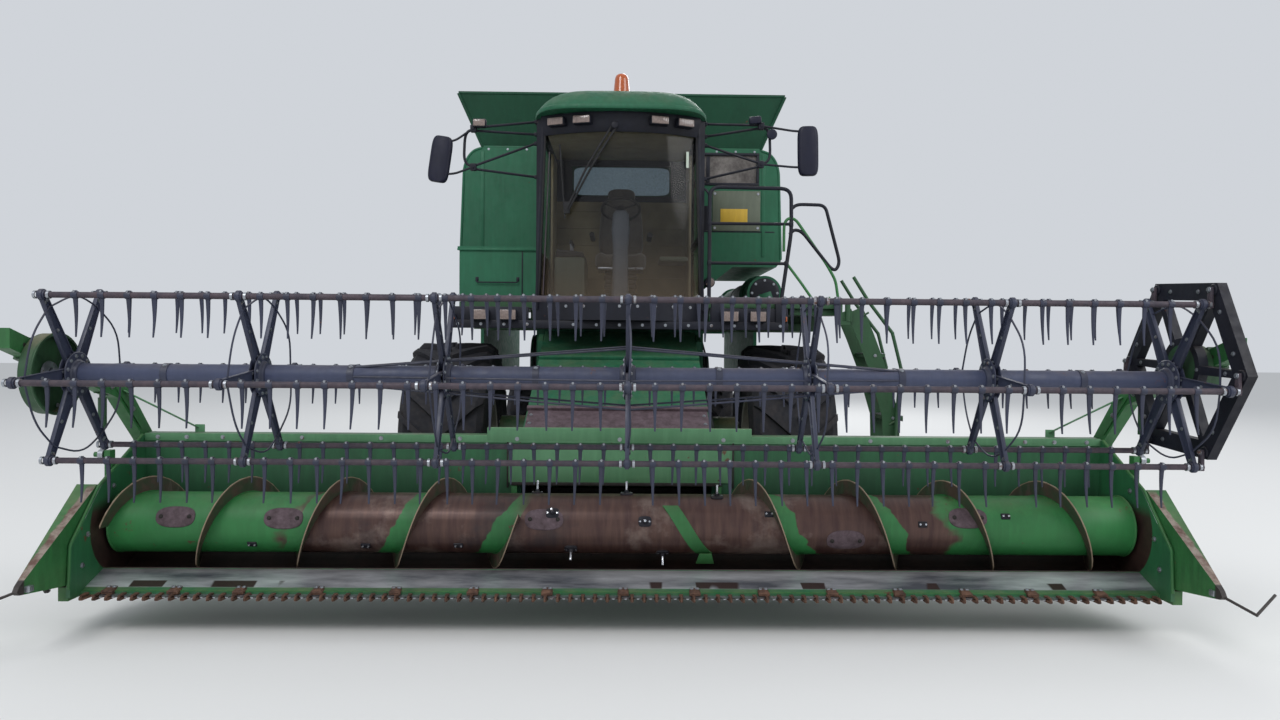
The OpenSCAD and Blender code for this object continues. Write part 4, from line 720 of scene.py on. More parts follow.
# Each mirror: side, its post's place and two heights, and its glass's place and two heights
mirrorSet = {"reach": -1.5657, "post": 0.205, "arms": (3.785, 3.675, 3.595, 3.30),
             "lean": {-1: 0.14, 1: -0.02},
             "set": ((1, (1.215, 3.71, 3.38), (1.62, 3.28, 3.71)),
                     (-1, (1.27, 3.66, 3.33), (1.55, 3.19, 3.59))),
             "shell": ((0.0, 0.62), (0.006, 0.82), (0.018, 0.95), (0.032, 1.0), (0.044, 1.0), (0.047, 0.97))}


def addMirrorPost(bm, side, post, glass):
    y = mirrorSet["reach"]
    postY = y - mirrorSet["post"]
    x, high, low = side * post[0], post[1], post[2]
    for z, end in zip(mirrorSet["arms"], (high + 0.012, high - 0.012, low + 0.012, low - 0.012)):
        box(bm, (side * 0.755 - 0.012, y - 0.022, z - 0.025), (side * 0.755 + 0.012, y + 0.022, z + 0.005),
            0.003)
        pipe(bm, [(side * 0.757, y, z - 0.01), (x, postY + 0.01, end)], 0.011)
    for z in (high, low):
        box(bm, (x - 0.026, postY - 0.028, z - 0.03), (x + 0.026, postY + 0.026, z + 0.03), 0.006)
        bolt(bm, (x, postY - 0.028, z), (0, -1, 0), 0.01)
    pipe(bm, [(x, postY + 0.01, high), (x + side * 0.075, postY + 0.01, high - 0.03),
              (x + side * 0.085, postY + 0.01, low + 0.04), (x, postY + 0.01, low)], 0.012, 0.09)
    for start, end in ((high, glass[2] - 0.045), (low, glass[1] + 0.075)):
        pipe(bm, [(x, postY - 0.017, start), (side * (glass[0] - 0.12), postY - 0.028, end),
                  (side * glass[0], postY - 0.03, end)], 0.0095, 0.05)


# Shell: a shallow moulded dish with the glass facing the driver
def addMirrorShell(bm, side, glass, postY):
    x, middle, half = side * glass[0], (glass[1] + glass[2]) / 2, (glass[2] - glass[1]) / 2
    lean = shift(x, 0, middle) @ Matrix.Rotation(mirrorSet["lean"][side], 4, "Y") @ shift(-x, 0, -middle)
    rings = [[(x + p[0], postY - 0.06 + depth, middle + p[1])
              for p in oval(0.09 * wide, half * (0.9 + 0.1 * wide), 5, count=40)]
             for depth, wide in mirrorSet["shell"]]
    loft(bm, rings, 1, lean)
    face = oval(0.08, half * 0.955, 5, count=40)
    loft(bm, [[(x + p[0], postY - 0.0135 + d, middle + p[1]) for p in face] for d in (0, 0.002)], 2, lean)
    for z in (middle - half * 0.5, middle + half * 0.5):
        box(bm, (x - 0.03, postY - 0.04, z - 0.025), (x + 0.03, postY - 0.012, z + 0.025), 0.004)


def addMirrors():
    bm = bmesh.new()
    postY = mirrorSet["reach"] - mirrorSet["post"]
    for side, post, glass in mirrorSet["set"]:
        addMirrorPost(bm, side, post, glass)
        addMirrorShell(bm, side, glass, postY)
        spot = shift(side * (post[0] - 0.055), postY - 0.055, post[1] + 0.042)
        if side < 0:  # work lamp above the upper clamp
            lampUnit(bm, spot, 0.115, 0.072, 0.07, 3)
            continue
        # the lamp on the left shows its back, and a small round mirror hangs below it
        box(bm, (-0.052, 0.0, -0.030), (0.052, 0.066, 0.034), 0.014, 1, spot @ Matrix.Rotation(-0.12, 4, "Y"))
        x = post[0] + 0.09
        pipe(bm, [(x - 0.005, postY + 0.01, 3.6), (x, postY - 0.03, 3.63)], 0.006)
        drum(bm, (x, postY - 0.045, 3.635), (x, postY - 0.02, 3.635), 0.045, sides=24, soft=0.006, mat=1)
    finish(bm, "mirrorSet", [black, shellPlastic, mirrorFace, paleLens], replaces=["mirrors"])


rails = {"y": -1.68, "top": 3.20, "r": 0.017, "inner": 0.785, "feet": (0.785, 1.42, 1.93, 1.72),
         "bars": ((0.343, 1.465), (0.69, 1.503)),
         "gate": ((1.50, 0.82), (1.55, 0.865), (1.80, 0.86), (1.935, 0.36), (1.905, 0.29), (1.86, 0.30),
                  (1.60, 0.625), (1.53, 0.645), (1.49, 0.60)),
         "stepRail": ((1.44, 0.45), (1.44, 0.70), (1.48, 0.745), (1.54, 0.735), (1.82, 0.34), (1.90, 0.20),
                      (1.93, 0.0)),
         "stepStay": ((1.47, 0.34), (1.60, 0.17), (1.72, 0))}


def addRails():
    bm = bmesh.new()
    y, z, top, r = rails["y"], cab["deck"], rails["top"], rails["r"]
    inner = rails["inner"]
    pipe(bm, [(inner, y, z), (inner, y, top), (1.50, y, top - 0.01), (1.505, y, z + 0.62), (1.42, y, z)],
         r, 0.09, 4)
    for h, end in rails["bars"]:
        pipe(bm, [(inner, y, z + h), (end, y, z + h)], r - 0.003, res=4)
        for x in (inner, end):
            drum(bm, (x, y, z + h - 0.022), (x, y, z + h + 0.022), r + 0.003, sides=16, soft=0.003)
    # hoop beside the steps, and the green rail that runs down beside them
    for name, less, bend, res, mat in (("gate", 0.002, 0.06, 4, 0), ("stepRail", 0.004, 0.05, 4, 1),
                                       ("stepStay", 0.005, 0.04, 3, 1)):
        pipe(bm, [(x, y, z + h) for x, h in rails[name]], r - less, bend, res, mat)
    for x in rails["feet"]:
        drum(bm, (x, y, z), (x, y, z + 0.008), 0.04, sides=20, soft=0.002)
    # toe board round the platform's edge
    box(bm, (1.942, -1.25, z), (1.956, -0.13, z + 0.08), 0.002, 1)
    finish(bm, "railSet", [black, headerGreen], replaces=["handrails"])


# Raised tread bars, laid crosswise in turn
def treads(bm, columns, rows):
    for x in columns:
        for y in rows:
            lean = 45 if (round(x * 12) + round(y * 12)) % 2 else -45
            place = shift(x, y, cab["deck"]) @ turned(lean, "Z")
            box(bm, (-0.026, -0.005, -0.001), (0.026, 0.005, 0.0035), 0.0, 0, place)


platform = {"leftTreads": (spread(0.84, 1.88, 14), spread(-1.62, -0.2, 18)),
            "rightTreads": (spread(-1.40, -0.82, 8), spread(-1.30, -0.2, 14)),
            "edge": ((0.765, -1.704, 2.138), (1.958, -1.698, 2.192)),
            "boxes": (((1.56, -0.80, 1.99), (1.90, -0.35, 2.135), 0.012),
                      ((1.50, -1.66, 2.08), (1.93, -1.45, 2.137), 0.008))}


def addPlatformTrim():
    bm = bmesh.new()
    treads(bm, *platform["leftTreads"])
    box(bm, *platform["edge"], 0.002, 1)
    for low, high, soft in platform["boxes"]:  # boxes under the platform's edge
        box(bm, low, high, soft, 1)
    for x in (1.60, 1.86):
        bolt(bm, (x, -0.80, 2.06), (0, -1, 0), 0.01, 0)
    treads(bm, *platform["rightTreads"])
    finish(bm, "platformTrim", [steel, darkGreen])


# Ladder's line from its hinge down: (reach from the hinge, height)
ladder = {"hinge": 2.0, "line": ((0.07, 2.13), (0.17, 1.90), (0.27, 1.64), (0.40, 1.20), (0.42, 0.56)),
          "steps": 5, "first": 0.46, "pitch": 0.275}


def addLadderTrim():
    bm = bmesh.new()
    for i in range(ladder["steps"]):
        z = cab["deck"] - ladder["first"] - i * ladder["pitch"]
        for (xa, za), (xb, zb) in zip(ladder["line"], ladder["line"][1:]):
            if zb <= z <= za:
                x = ladder["hinge"] + xa + (xb - xa) * (za - z) / (za - zb)
        for dx in spread(-0.045, 0.095, 6):
            box(bm, (x + dx - 0.008, -1.66, z + 0.0155), (x + dx + 0.008, -1.32, z + 0.022), 0.002)
        box(bm, (x + 0.108, -1.68, z - 0.03), (x + 0.113, -1.30, z + 0.02), 0.001)
        for y, way in ((-1.692, -1), (-1.288, 1)):
            bolt(bm, (x + 0.02, y, z), (0, way, 0), 0.01)
    finish(bm, "ladderTrim", [steel], "steps")


# Places on the windscreen are (x, height, distance in front of the glass)
wiper = {"pivot": (-0.05, 3.67, 0.03), "elbow": (-0.25, 3.35, 0.05), "tip": (-0.44, 2.98, 0.025),
         "arms": (-0.02, 0.022), "bladeX": -0.475, "bladeZ": (2.90, 3.54)}


# Two-arm wiper, parked at the screen's right edge
def addWiper(bm):
    pivot, elbow, tip = [onScreen(*wiper[name]) for name in ("pivot", "elbow", "tip")]
    for dx in wiper["arms"]:
        arm = [pivot + Vector((dx, 0, 0.01)), elbow + Vector((dx, 0, 0)), tip + Vector((dx * 0.4, 0, 0))]
        pipe(bm, arm, 0.0095, 0.2, mat=1)
    drum(bm, pivot + Vector((0, 0.03, 0.01)), pivot + Vector((0, -0.02, 0.01)), 0.03, sides=20, soft=0.005)
    heights = spread(*wiper["bladeZ"], 9)
    blade = [onScreen(wiper["bladeX"] - 0.006 * k, z, 0.012) for k, z in enumerate(heights)]
    pipe(bm, blade, 0.007, mat=1)
    box(bm, (-0.025, -0.01, -0.05), (0.025, 0.014, 0.05), 0.004, 1, screenPlace(-0.455, 0.016, 2.99))


def addCabTrim():
    bm = bmesh.new()
    low, high, halfLow, halfHigh = cab["deck"], cab["high"], cab["halfLow"], cab["halfHigh"]
    taper, tall = halfHigh - halfLow, high - low
    # rubber round the windscreen, black posts and the rust-red strip at one edge
    edge = [onScreen(x, low + 0.01) for x in spread(-halfLow, halfLow, 13)]
    edge += [onScreen(halfLow + taper * t, low + tall * t) for t in spread(0, 1, 9)]
    edge += [onScreen(x, high) for x in spread(halfHigh, -halfHigh, 13)]
    edge += [onScreen(-halfHigh + taper * t, high - tall * t) for t in spread(0, 1, 9)]
    pipe(bm, edge, 0.011, closed=True, mat=1)
    for side in (-1, 1):
        post = [onScreen(side * (halfLow + 0.018 + taper * t), low + tall * t, 0.006)
                for t in spread(-0.05, 1.05, 9)]
        pipe(bm, post, 0.016)
    strip = [onScreen(-halfLow + 0.035 - taper * t, low + 0.05 + (tall - 0.2) * t, -0.002)
             for t in spread(0, 1, 9)]
    for a, b in zip(strip, strip[1:]):
        place = along(a, b) @ Matrix.Rotation(0.62, 4, "Z")
        box(bm, (-0.016, -0.004, 0), (0.016, 0.004, (b - a).length), 0, 2, place)
    addWiper(bm)
    # small blank label, side gutters and bolts along the sill
    box(bm, (-0.013, -0.002, -0.07), (0.013, 0.002, 0.07), 0.0, 3, screenPlace(0.585, -0.002, 3.43))
    for side in (-1, 1):
        for x, z, r in ((0.748, 3.765, 0.012), (0.752, 2.1, 0.010)):
            pipe(bm, [(side * x, -1.56, z), (side * x, -0.13, z)], r)
    for x in spread(-0.62, 0.62, 9):
        bolt(bm, (*onScreen(x, 2.14, 0.0).xy, 2.14), (x, -1, 0), 0.009, 4)
    # grab rail on the left corner post
    pipe(bm, [(0.75, -1.575, 2.35), (0.79, -1.60, 2.40), (0.79, -1.60, 3.15), (0.75, -1.575, 3.20)],
         0.011, 0.05)
    finish(bm, "cabTrim", [black, softRubber, batRust, plateWhite, steel])


door = {"x": 0.745, "front": -1.4597, "rear": -0.291, "low": 2.261, "high": 3.669}


def addDoorTrim():
    bm = bmesh.new()
    x, y0, y1, z0, z1 = door["x"], door["front"], door["rear"], door["low"], door["high"]
    pipe(bm, [(x + 0.0015, y0 + 0.02, z0 + 0.56), (x + 0.0015, y1 - 0.02, z0 + 0.56)], 0.010, mat=1)
    corners = ((y0, z0), (y0, z1), (y1, z1), (y1, z0))
    for a, b in zip(corners, corners[1:] + corners[:1]):
        pipe(bm, [(x + 0.0005, *a), (x + 0.0005, *b)], 0.009, mat=1)
    box(bm, (x, y0 - 0.045, z0 + 0.60), (x + 0.02, y0 + 0.07, z0 + 0.72), 0.006, 0)
    grip = x + 0.045
    handle = [(x + 0.02, y0 - 0.02, z0 + 0.69), (grip, y0 - 0.02, z0 + 0.70), (grip, y0 + 0.05, z0 + 0.70)]
    pipe(bm, handle, 0.009, 0.02, mat=2)
    finish(bm, "doorTrim", [black, softRubber, steel], "door")


# Pads are rings of (depth or height, scale) on an oval outline
seat = {"y": -0.62, "lift": 0.14, "wheelUp": 1.0, "column": -1.18,
        "cushion": ((0.335, 0.90), (0.35, 0.98), (0.38, 1.0), (0.42, 1.0), (0.445, 0.97), (0.46, 0.86),
                    (0.455, 0.6), (0.45, 0.25)),
        "back": ((-0.058, 0.55), (-0.066, 0.8), (-0.05, 0.96), (-0.01, 1.0), (0.035, 0.99), (0.052, 0.9),
                 (0.055, 0.5)),
        "headRest": ((-0.04, 0.7), (-0.045, 0.9), (-0.01, 1.0), (0.03, 0.95), (0.04, 0.6)),
        "columnRings": ((0.0, 0.10, 0.11), (0.1, 0.085, 0.08), (0.3, 0.075, 0.06), (0.6, 0.07, 0.055),
                        (0.8, 0.085, 0.06), (0.95, 0.075, 0.055), (1.0, 0.04, 0.03))}


def cushion(name, rings):
    bm = bmesh.new()
    loft(bm, rings)
    piece = finish(bm, name, [cloth], replaces=["cab_interior"], sharp=80)


def addPads():
    y, up = seat["y"], cab["floor"] + seat["lift"]
    rings = []
    for h, scale in seat["cushion"]:
        rings.append([(p[0], y - 0.05 + p[1], up + h + (0.02 if abs(p[0]) > 0.17 and h > 0.4 else 0))
                      for p in oval(0.25 * scale, 0.245 * scale, 4)])
    cushion("seatCushion", rings)
    lean = shift(0, y + 0.19, up + 0.42) @ turned(-9.6, "X")
    rings = []
    for d, scale in seat["back"]:
        rings.append([lean @ Vector((p[0] * (1.0 - 0.16 * max(0.0, (p[1] + 0.3) / 0.6)), d, 0.34 + p[1]))
                      for p in oval(0.24 * scale, 0.33 * scale, 3.6)])
    cushion("seatBack", rings)
    cushion("headRest", [[lean @ Vector((p[0], d, 0.70 + p[1]))
                          for p in oval(0.14 * scale, 0.075 * scale, 3.5, count=36)]
                         for d, scale in seat["headRest"]])


def addSteering(bm):
    floor, column, wheelUp = cab["floor"], seat["column"], seat["wheelUp"]
    rings = []
    for t, hx, hy in seat["columnRings"]:
        rings.append([(p[0], column - 0.06 + 0.12 * t + p[1], floor + 0.02 + (wheelUp - 0.02) * t)
                      for p in oval(hx, hy, 3, count=28)])
    loft(bm, rings, 3)
    hub = shift(0, column + 0.06, floor + wheelUp) @ turned(-28, "X")
    pipe(bm, [hub @ Vector(p) for p in circle((0, 0, 0), 0.178, 48, axis="Z")], 0.014, res=4, closed=True)
    for p in circle((0, 0, 0), 1, 3, 90, "Z"):
        d = Vector(p)
        pipe(bm, [hub @ (d * 0.03), hub @ (d * 0.10 + Vector((0, 0, -0.008))), hub @ (d * 0.176)],
             0.009, 0.03)
    boss = [(0, -0.03), (0.045, -0.028), (0.05, 0.0), (0.04, 0.018), (0, 0.024)]
    lathe(bm, boss, hub.translation, outward(hub), 24)
    for x in (-0.14, 0.14):  # pedals
        box(bm, (x - 0.04, column - 0.14, floor + 0.06), (x + 0.04, column - 0.12, floor + 0.16), 0.006, 1)


def addCabLining(bm):
    box(bm, (-0.69, -0.175, cab["floor"] + 0.02), (0.69, -0.16, 3.30), 0.006, 4)
    for z in spread(2.5, 3.2, 5):
        box(bm, (-0.66, -0.182, z - 0.006), (0.66, -0.17, z + 0.006), 0.003, 4)
    for x in (-0.6875, 0.6875):
        box(bm, (x - 0.012, -0.62, 2.15), (x + 0.012, -0.16, 3.70), 0.006, 4)
    box(bm, (-0.68, -1.50, 3.735), (0.68, -0.16, 3.765), 0.008, 4)
    # rear window pane, which glows: painted daylight seen through it
    pane = oval(0.50, 0.145, 9, (0, 3.52))
    loft(bm, [[(p[0], depth, p[1]) for p in pane] for depth in (-0.1385, -0.1355)], 5)


def addSeat():
    addPads()
    bm = bmesh.new()
    y, floor, lift = seat["y"], cab["floor"], seat["lift"]
    box(bm, (-0.17, y - 0.2, floor), (0.17, y + 0.15, floor + 0.05), 0.01)
    for k in range(9):  # bellows of the sprung base
        half, low = 0.15 + 0.012 * (k % 2), floor + 0.05 + k * 0.045
        box(bm, (-half, y - 0.18, low), (half, y + 0.13, low + 0.045), 0.01)
    box(bm, (-0.22, y - 0.27, floor + lift + 0.315), (0.22, y + 0.17, floor + lift + 0.338), 0.006, 1)
    for side in (-1, 1):  # arm rests
        rest = [(side * 0.285, y + 0.2, floor + lift + 0.66), (side * 0.285, y - 0.12, floor + lift + 0.67)]
        pipe(bm, rest, 0.026, 0.04, 4)
    # console with its levers, floor mat, steering column and wheel
    box(bm, (-0.63, y - 0.39, floor), (-0.34, y + 0.32, floor + 0.56), 0.02, 2)
    top = [(-0.63, 0.56), (-0.34, 0.56), (-0.36, 0.61), (-0.61, 0.64)]
    plate(bm, [(x, floor + h) for x, h in top], "Y", y - 0.37, y + 0.2, 0.01, 0)
    for dy in spread(-0.3, 0.05, 4):
        pipe(bm, [(-0.48, y + dy, floor + 0.60), (-0.48, y + dy - 0.015, floor + 0.70)], 0.006, mat=1)
        drum(bm, (-0.48, y + dy - 0.015, floor + 0.69), (-0.48, y + dy - 0.02, floor + 0.73), 0.016,
             sides=14, soft=0.004)
    box(bm, (-0.70, -1.5, floor), (0.70, -0.16, floor + 0.012), 0.004, 0)
    addSteering(bm)
    box(bm, (0.38, -0.75, floor + 0.55), (0.66, -0.25, floor + 0.60), 0.02, 2)
    addCabLining(bm)
    finish(bm, "cabControls", [cabPlastic, steel, olive, cabGrey, cabLining, skyGlowPane],
           replaces=["cab_interior"], sharp=40)


reel = {"y": -4.237, "z": 1.614, "r": 0.533, "turn": 183.3, "middle": 0.07, "spiderGap": 1.075, "tube": 0.062,
        "batR": 0.017, "tines": 45, "tinePitch": 0.145, "tineLength": 0.232, "batEnd": 3.25, "camX": 3.36,
        "camUp": 0.085, "camWidth": 0.055, "shaft": (-3.431, 3.572), "armX": (-3.38, 3.52), "coverX": -3.323}
spiderX = [reel["middle"] + (i - 3) * reel["spiderGap"] for i in range(7)]


def reelAngle(i):
    return math.radians(reel["turn"] + 60 * i)


def onReel(x, r, a, up=0.0):
    return around((x, reel["y"], reel["z"] + up), r, a)


# Spring tine with its clip round the bat
def tineShape(bm):
    clip = [(0.017, -0.017), (0.0195, -0.017), (0.0205, -0.014), (0.0205, 0.014), (0.0195, 0.017),
            (0.017, 0.017)]
    lathe(bm, clip, (0, 0, 0), (1, 0, 0), 18, 1)
    rings = []
    for t in spread(0, 1, 8):
        wide, deep = 0.0135 * (1 - t) + 0.0045 * t, 0.0085 * (1 - t) + 0.0035 * t
        back = 0.004 * math.sin(t * math.pi) - 0.010 * t * t
        z = -0.012 - (reel["tineLength"] - 0.012) * t
        rings.append([(p[0], back + p[1], z) for p in oval(wide, deep, 2.6, count=10)])
    loft(bm, rings, 1)
    box(bm, (-0.008, -0.012, 0.012), (0.008, 0.010, 0.0255), 0.002, 1)
    bolt(bm, (0, -0.012, 0.020), (0, -1, 0), 0.0045, 2)


def addBats():
    wear = random.Random(7)
    camX, up = reel["camX"], reel["camUp"]
    collar = [(0.017, 0), (0.0225, 0), (0.0225, 0.014), (0.017, 0.014)]
    for i in range(6):
        y, z = onReel(0, reel["r"], reelAngle(i))[1:]
        bm = bmesh.new()
        drum(bm, (reel["middle"] - reel["batEnd"], y, z), (camX - 0.008, y, z), reel["batR"], sides=20,
             soft=0.002)
        for x in spiderX:
            for side in (-1, 1):
                lathe(bm, collar, (x + side * 0.030, y, z), (side, 0, 0), 18, 2)
        spots = []
        for k in range(reel["tines"]):
            x = reel["middle"] + (k - reel["tines"] // 2) * reel["tinePitch"]
            if min(abs(x - s) for s in spiderX) > 0.045:
                swing = Matrix.Rotation(wear.uniform(-0.035, 0.035), 4, "Y")
                spots.append(shift(x, y, z) @ swing @ Matrix.Rotation(wear.uniform(-0.03, 0.03), 4, "X"))
        stamp(bm, tineShape, spots)
        # crank at the cam end
        crank = [(y - 0.018, z - 0.02), (y + 0.018, z - 0.02), (y + 0.014, z + 0.10), (y - 0.014, z + 0.10)]
        plate(bm, crank, "X", camX - 0.030, camX - 0.010, 0.003)
        drum(bm, (camX - 0.009, y, z + up), (camX + 0.050, y, z + up), 0.010, sides=16, mat=2)
        bolt(bm, (camX - 0.030, y, z + up), (-1, 0, 0), 0.011, 2)
        finish(bm, f"batBar{i + 1}", [batRust, tineBlue, steel], f"bar_{i + 1}", [f"bat_{i + 1}"],
               40)


# Pressed channel arm, drawn outwards along Y
def armShape(bm):
    plate(bm, [(0.055, -0.040), (0.535, -0.022), (0.535, 0.022), (0.055, 0.040)], "X", -0.0025, 0.0025)
    for s in (-1, 1):
        flange = [(0.055, s * 0.036), (0.050, s * 0.041), (0.515, s * 0.024), (0.515, s * 0.019)]
        plate(bm, flange, "X", -0.012, 0.012, 0.0012)
    drum(bm, (-0.012, 0.533, 0), (0.012, 0.533, 0), 0.0325, sides=28, soft=0.003)
    drum(bm, (-0.020, 0.533, 0), (0.020, 0.533, 0), 0.0245, sides=24, soft=0.002, mat=1)
    for r, w in ((0.49, -0.012), (0.49, 0.012), (0.085, -0.022), (0.085, 0.022), (0.115, -0.022),
                 (0.115, 0.022), (0.30, 0.0)):
        for way in (-1, 1):
            bolt(bm, (way * 0.0025, r, w), (way, 0, 0), 0.0075, 2)


def addReel():
    bm = bmesh.new()
    y, z = reel["y"], reel["z"]
    drum(bm, (spiderX[0] - 0.012, y, z), (spiderX[6] + 0.012, y, z), reel["tube"], sides=40, soft=0.003,
         mat=3)
    drum(bm, (reel["shaft"][0], y, z), (reel["shaft"][1], y, z), 0.0298, sides=24, soft=0.003, mat=2)
    hub = [(0.06, 0.0), (0.127, 0.0), (0.130, 0.002), (0.130, 0.005), (0.126, 0.008), (0.085, 0.008),
           (0.078, 0.014), (0.074, 0.030), (0.068, 0.034), (0.06, 0.034)]
    for x in spiderX:
        stamp(bm, armShape, [shift(x, y, z) @ Matrix.Rotation(reelAngle(i), 4, "X") for i in range(6)])
        for side in (-1, 1):
            lathe(bm, hub, (x + side * 0.0125, y, z), (side, 0, 0), 40)
            bolts(bm, circle((x + side * 0.0205, y, z), 0.107, 12, 15), (side, 0, 0), 0.008, 2)
    # clamps and their bolts along the tube
    clampTurn = 2.2
    clamp = [(0.060, 0), (0.0665, 0.001), (0.0665, 0.039), (0.060, 0.04)]
    for a, b in zip(spiderX, spiderX[1:]):
        x = (a + b) / 2
        lathe(bm, clamp, (x - 0.02, y, z), (1, 0, 0))
        bolts(bm, [onReel(x, 0.066, clampTurn)], (0, math.cos(clampTurn), math.sin(clampTurn)), 0.008, 2)
    for i in range(6):
        a, half, b = [reelAngle(i + step) for step in (0, 0.5, 1)]
        for side in (-1, 1):
            pipe(bm, [onReel(spiderX[3], 0.205, a), onReel(spiderX[3] + side * 1.65, 0.055, a)], 0.006,
                 res=2, mat=1)
        for x in spiderX:  # thin wire run round the arms, a little inside the bats
            pipe(bm, [onReel(x + 0.004, 0.45, a), onReel(x + 0.02, 0.47, half), onReel(x + 0.004, 0.45, b)],
                 0.0055, 0.25, 2, 1)
    finish(bm, "reelCore", [reelBlue, tineBlue, steel, reelTube], "reel", ["reel_core"], 35)


def addCamTrim():
    bm = bmesh.new()
    up = reel["camUp"]
    bearing = [(0.0115, 0), (0.033, 0), (0.033, 0.005), (0.028, 0.009), (0.0115, 0.009)]
    for side, x in ((-1, reel["camX"]), (1, reel["camX"] + reel["camWidth"])):
        for i in range(6):
            a, b = reelAngle(i), reelAngle(i + 1)
            lathe(bm, bearing, onReel(x, reel["r"], a, up), (side, 0, 0), 24)
            spots = [onReel(x, 0.155, a, up), onReel(x, 0.40, a, up)]
            bolts(bm, spots, (side, 0, 0), 0.008, 1)
            rim = [Vector(onReel(x, 0.52, a, up)).lerp(onReel(x, 0.52, b, up), t) for t in (0.25, 0.75)]
            bolts(bm, rim, (side, 0, 0), 0.009, 1)
    finish(bm, "camTrim", [black, steel], "cam")


def addCarriageTrim():
    bm = bmesh.new()
    x, y, z = reel["coverX"], reel["y"], reel["z"]
    rim = [(0.226, 0.060), (0.240, 0.060), (0.243, 0.066), (0.240, 0.072), (0.226, 0.072)]
    lathe(bm, rim, (x, y, z), (1, 0, 0), 48)
    bolts(bm, circle((x + 0.0135, y, z), 0.205, 8, 22.5), (1, 0, 0), 0.009, 1)
    boss = [(0.034, 0.0), (0.075, 0.0), (0.07, 0.012), (0.034, 0.018)]
    lathe(bm, boss, (x + 0.014, y, z), (1, 0, 0), mat=1)
    for side, armX in zip((-1, 1), reel["armX"]):  # cover plates and bolts on the sliding boxes
        face = armX + side * 0.052
        for dy in (-0.03, 0.03):
            bolts(bm, [(face, y + dy, z - 0.02), (face, y + dy, z + 0.07)], (side, 0, 0), 0.010, 1)
        cap = [(0, 0.012), (0.03, 0.012), (0.042, 0.006), (0.044, 0.0)]
        lathe(bm, cap, (armX + side * 0.053, y, z), (side, 0, 0), 24, 1)
    finish(bm, "carriageTrim", [darkGreen, steel], "carriage")


# The lift arms' trim: bolt places, a gusset, and the slope of the arm towards its tip
liftArm = {"bolts": ((-3.55, 1.504), (-3.95, 1.634), (-4.05, 1.667), (-3.30, 1.34)),
           "gusset": ((-3.30, 1.29), (-3.20, 1.19), (-3.42, 1.41), (-3.52, 1.50)),
           "holes": (-4.40, -4.345, -3.99, -3.935, -3.88), "slope": 18, "bend": (-3.41, 1.459)}


def addArmTrim():
    bm = bmesh.new()
    for side, armX in zip((-1, 1), reel["armX"]):
        for way in (-1, 1):
            for y, z in liftArm["bolts"]:
                bolt(bm, (armX + way * 0.04, y, z), (way, 0, 0), 0.012, 1)
            plate(bm, liftArm["gusset"], "X", armX + way * 0.0405, armX + way * 0.046, 0.001)
        pin = [(0, 0.01), (0.018, 0.01), (0.026, 0.004), (0.026, 0)]
        lathe(bm, pin, (armX + 0.062, -3.09, 1.113), (1, 0, 0), 20, 1)
        foot = armX - side * 0.38
        start, knee = Vector((armX - side * 0.036, -3.42, 1.475)), Vector((foot + side * 0.02, -3.073, 1.20))
        reach = (knee - start).length + 0.01
        # strap and foot plate in the lighter green: painted highlight
        box(bm, (-0.024, -0.004, 0), (0.024, 0.004, reach), 0.002, 3, along(start, knee))
        box(bm, (foot - 0.024, -3.077, 1.09), (foot + 0.044, -3.069, 1.215), 0.002, 3)
        for y in liftArm["holes"]:  # setting holes for the reel's place along the arm
            z = liftArm["bend"][1] + (liftArm["bend"][0] - y) * math.tan(math.radians(liftArm["slope"]))
            for way in (-1, 1):
                lathe(bm, [(0.0, 0.0006), (0.012, 0.0006), (0.0135, 0.0)], (armX + way * 0.04, y, z),
                      (way, 0, 0), 16, 2)
    finish(bm, "armTrim", [headerGreen, steel, ironDark, highlightGreen], "arms")


# Sickle guard: a flat foot, a lower finger, a lip over the knife and a nose that joins them
def guardShape(bm):
    finger = ((0.0, 0.016), (0.02, 0.0135), (0.05, 0.0105), (0.078, 0.0075))
    lip = ((0.012, 0.0125), (0.03, 0.011), (0.055, 0.0085), (0.078, 0.006))
    for spans, low, high in ((finger, -0.036, -0.0205), (lip, -0.0115, -0.002)):
        loft(bm, [[(-w, -d, low), (w, -d, low), (w, -d, high), (-w, -d, high)] for d, w in spans])
    rings = []
    for d, w, low, high in ((0.074, 0.0078, -0.036, -0.003), (0.085, 0.0062, -0.034, -0.008),
                            (0.094, 0.0035, -0.030, -0.016), (0.097, 0.0012, -0.027, -0.021)):
        rings.append([(p[0], -d, p[1]) for p in oval(w, (high - low) / 2, 3, (0, (high + low) / 2), 10)])
    loft(bm, rings)
    box(bm, (-0.024, 0.0, -0.036), (0.024, 0.052, -0.0195), 0.002)
    bolt(bm, (0, 0.028, -0.0195), (0, 0, 1), 0.008, 1)


def addCutterbar():
    bm = bmesh.new()
    y, z, count = header["knifeY"], header["knifeZ"], header["guards"]
    box(bm, (header["left"] + 0.002, y + 0.001, z - 0.034),
        (header["right"] - 0.002, y + 0.060, z - 0.0205), 0.001)
    wear = random.Random(3)
    spots = []
    for i in range(count):
        x = header["middle"] + (i - (count - 1) / 2) * header["pitch"]
        spots.append(shift(x, y, z) @ Matrix.Rotation(wear.uniform(-0.03, 0.03), 4, "Z"))
    stamp(bm, guardShape, spots)
    finish(bm, "sickleGuards", [guardRust, steel], "header", ["cutterbar"], 40)


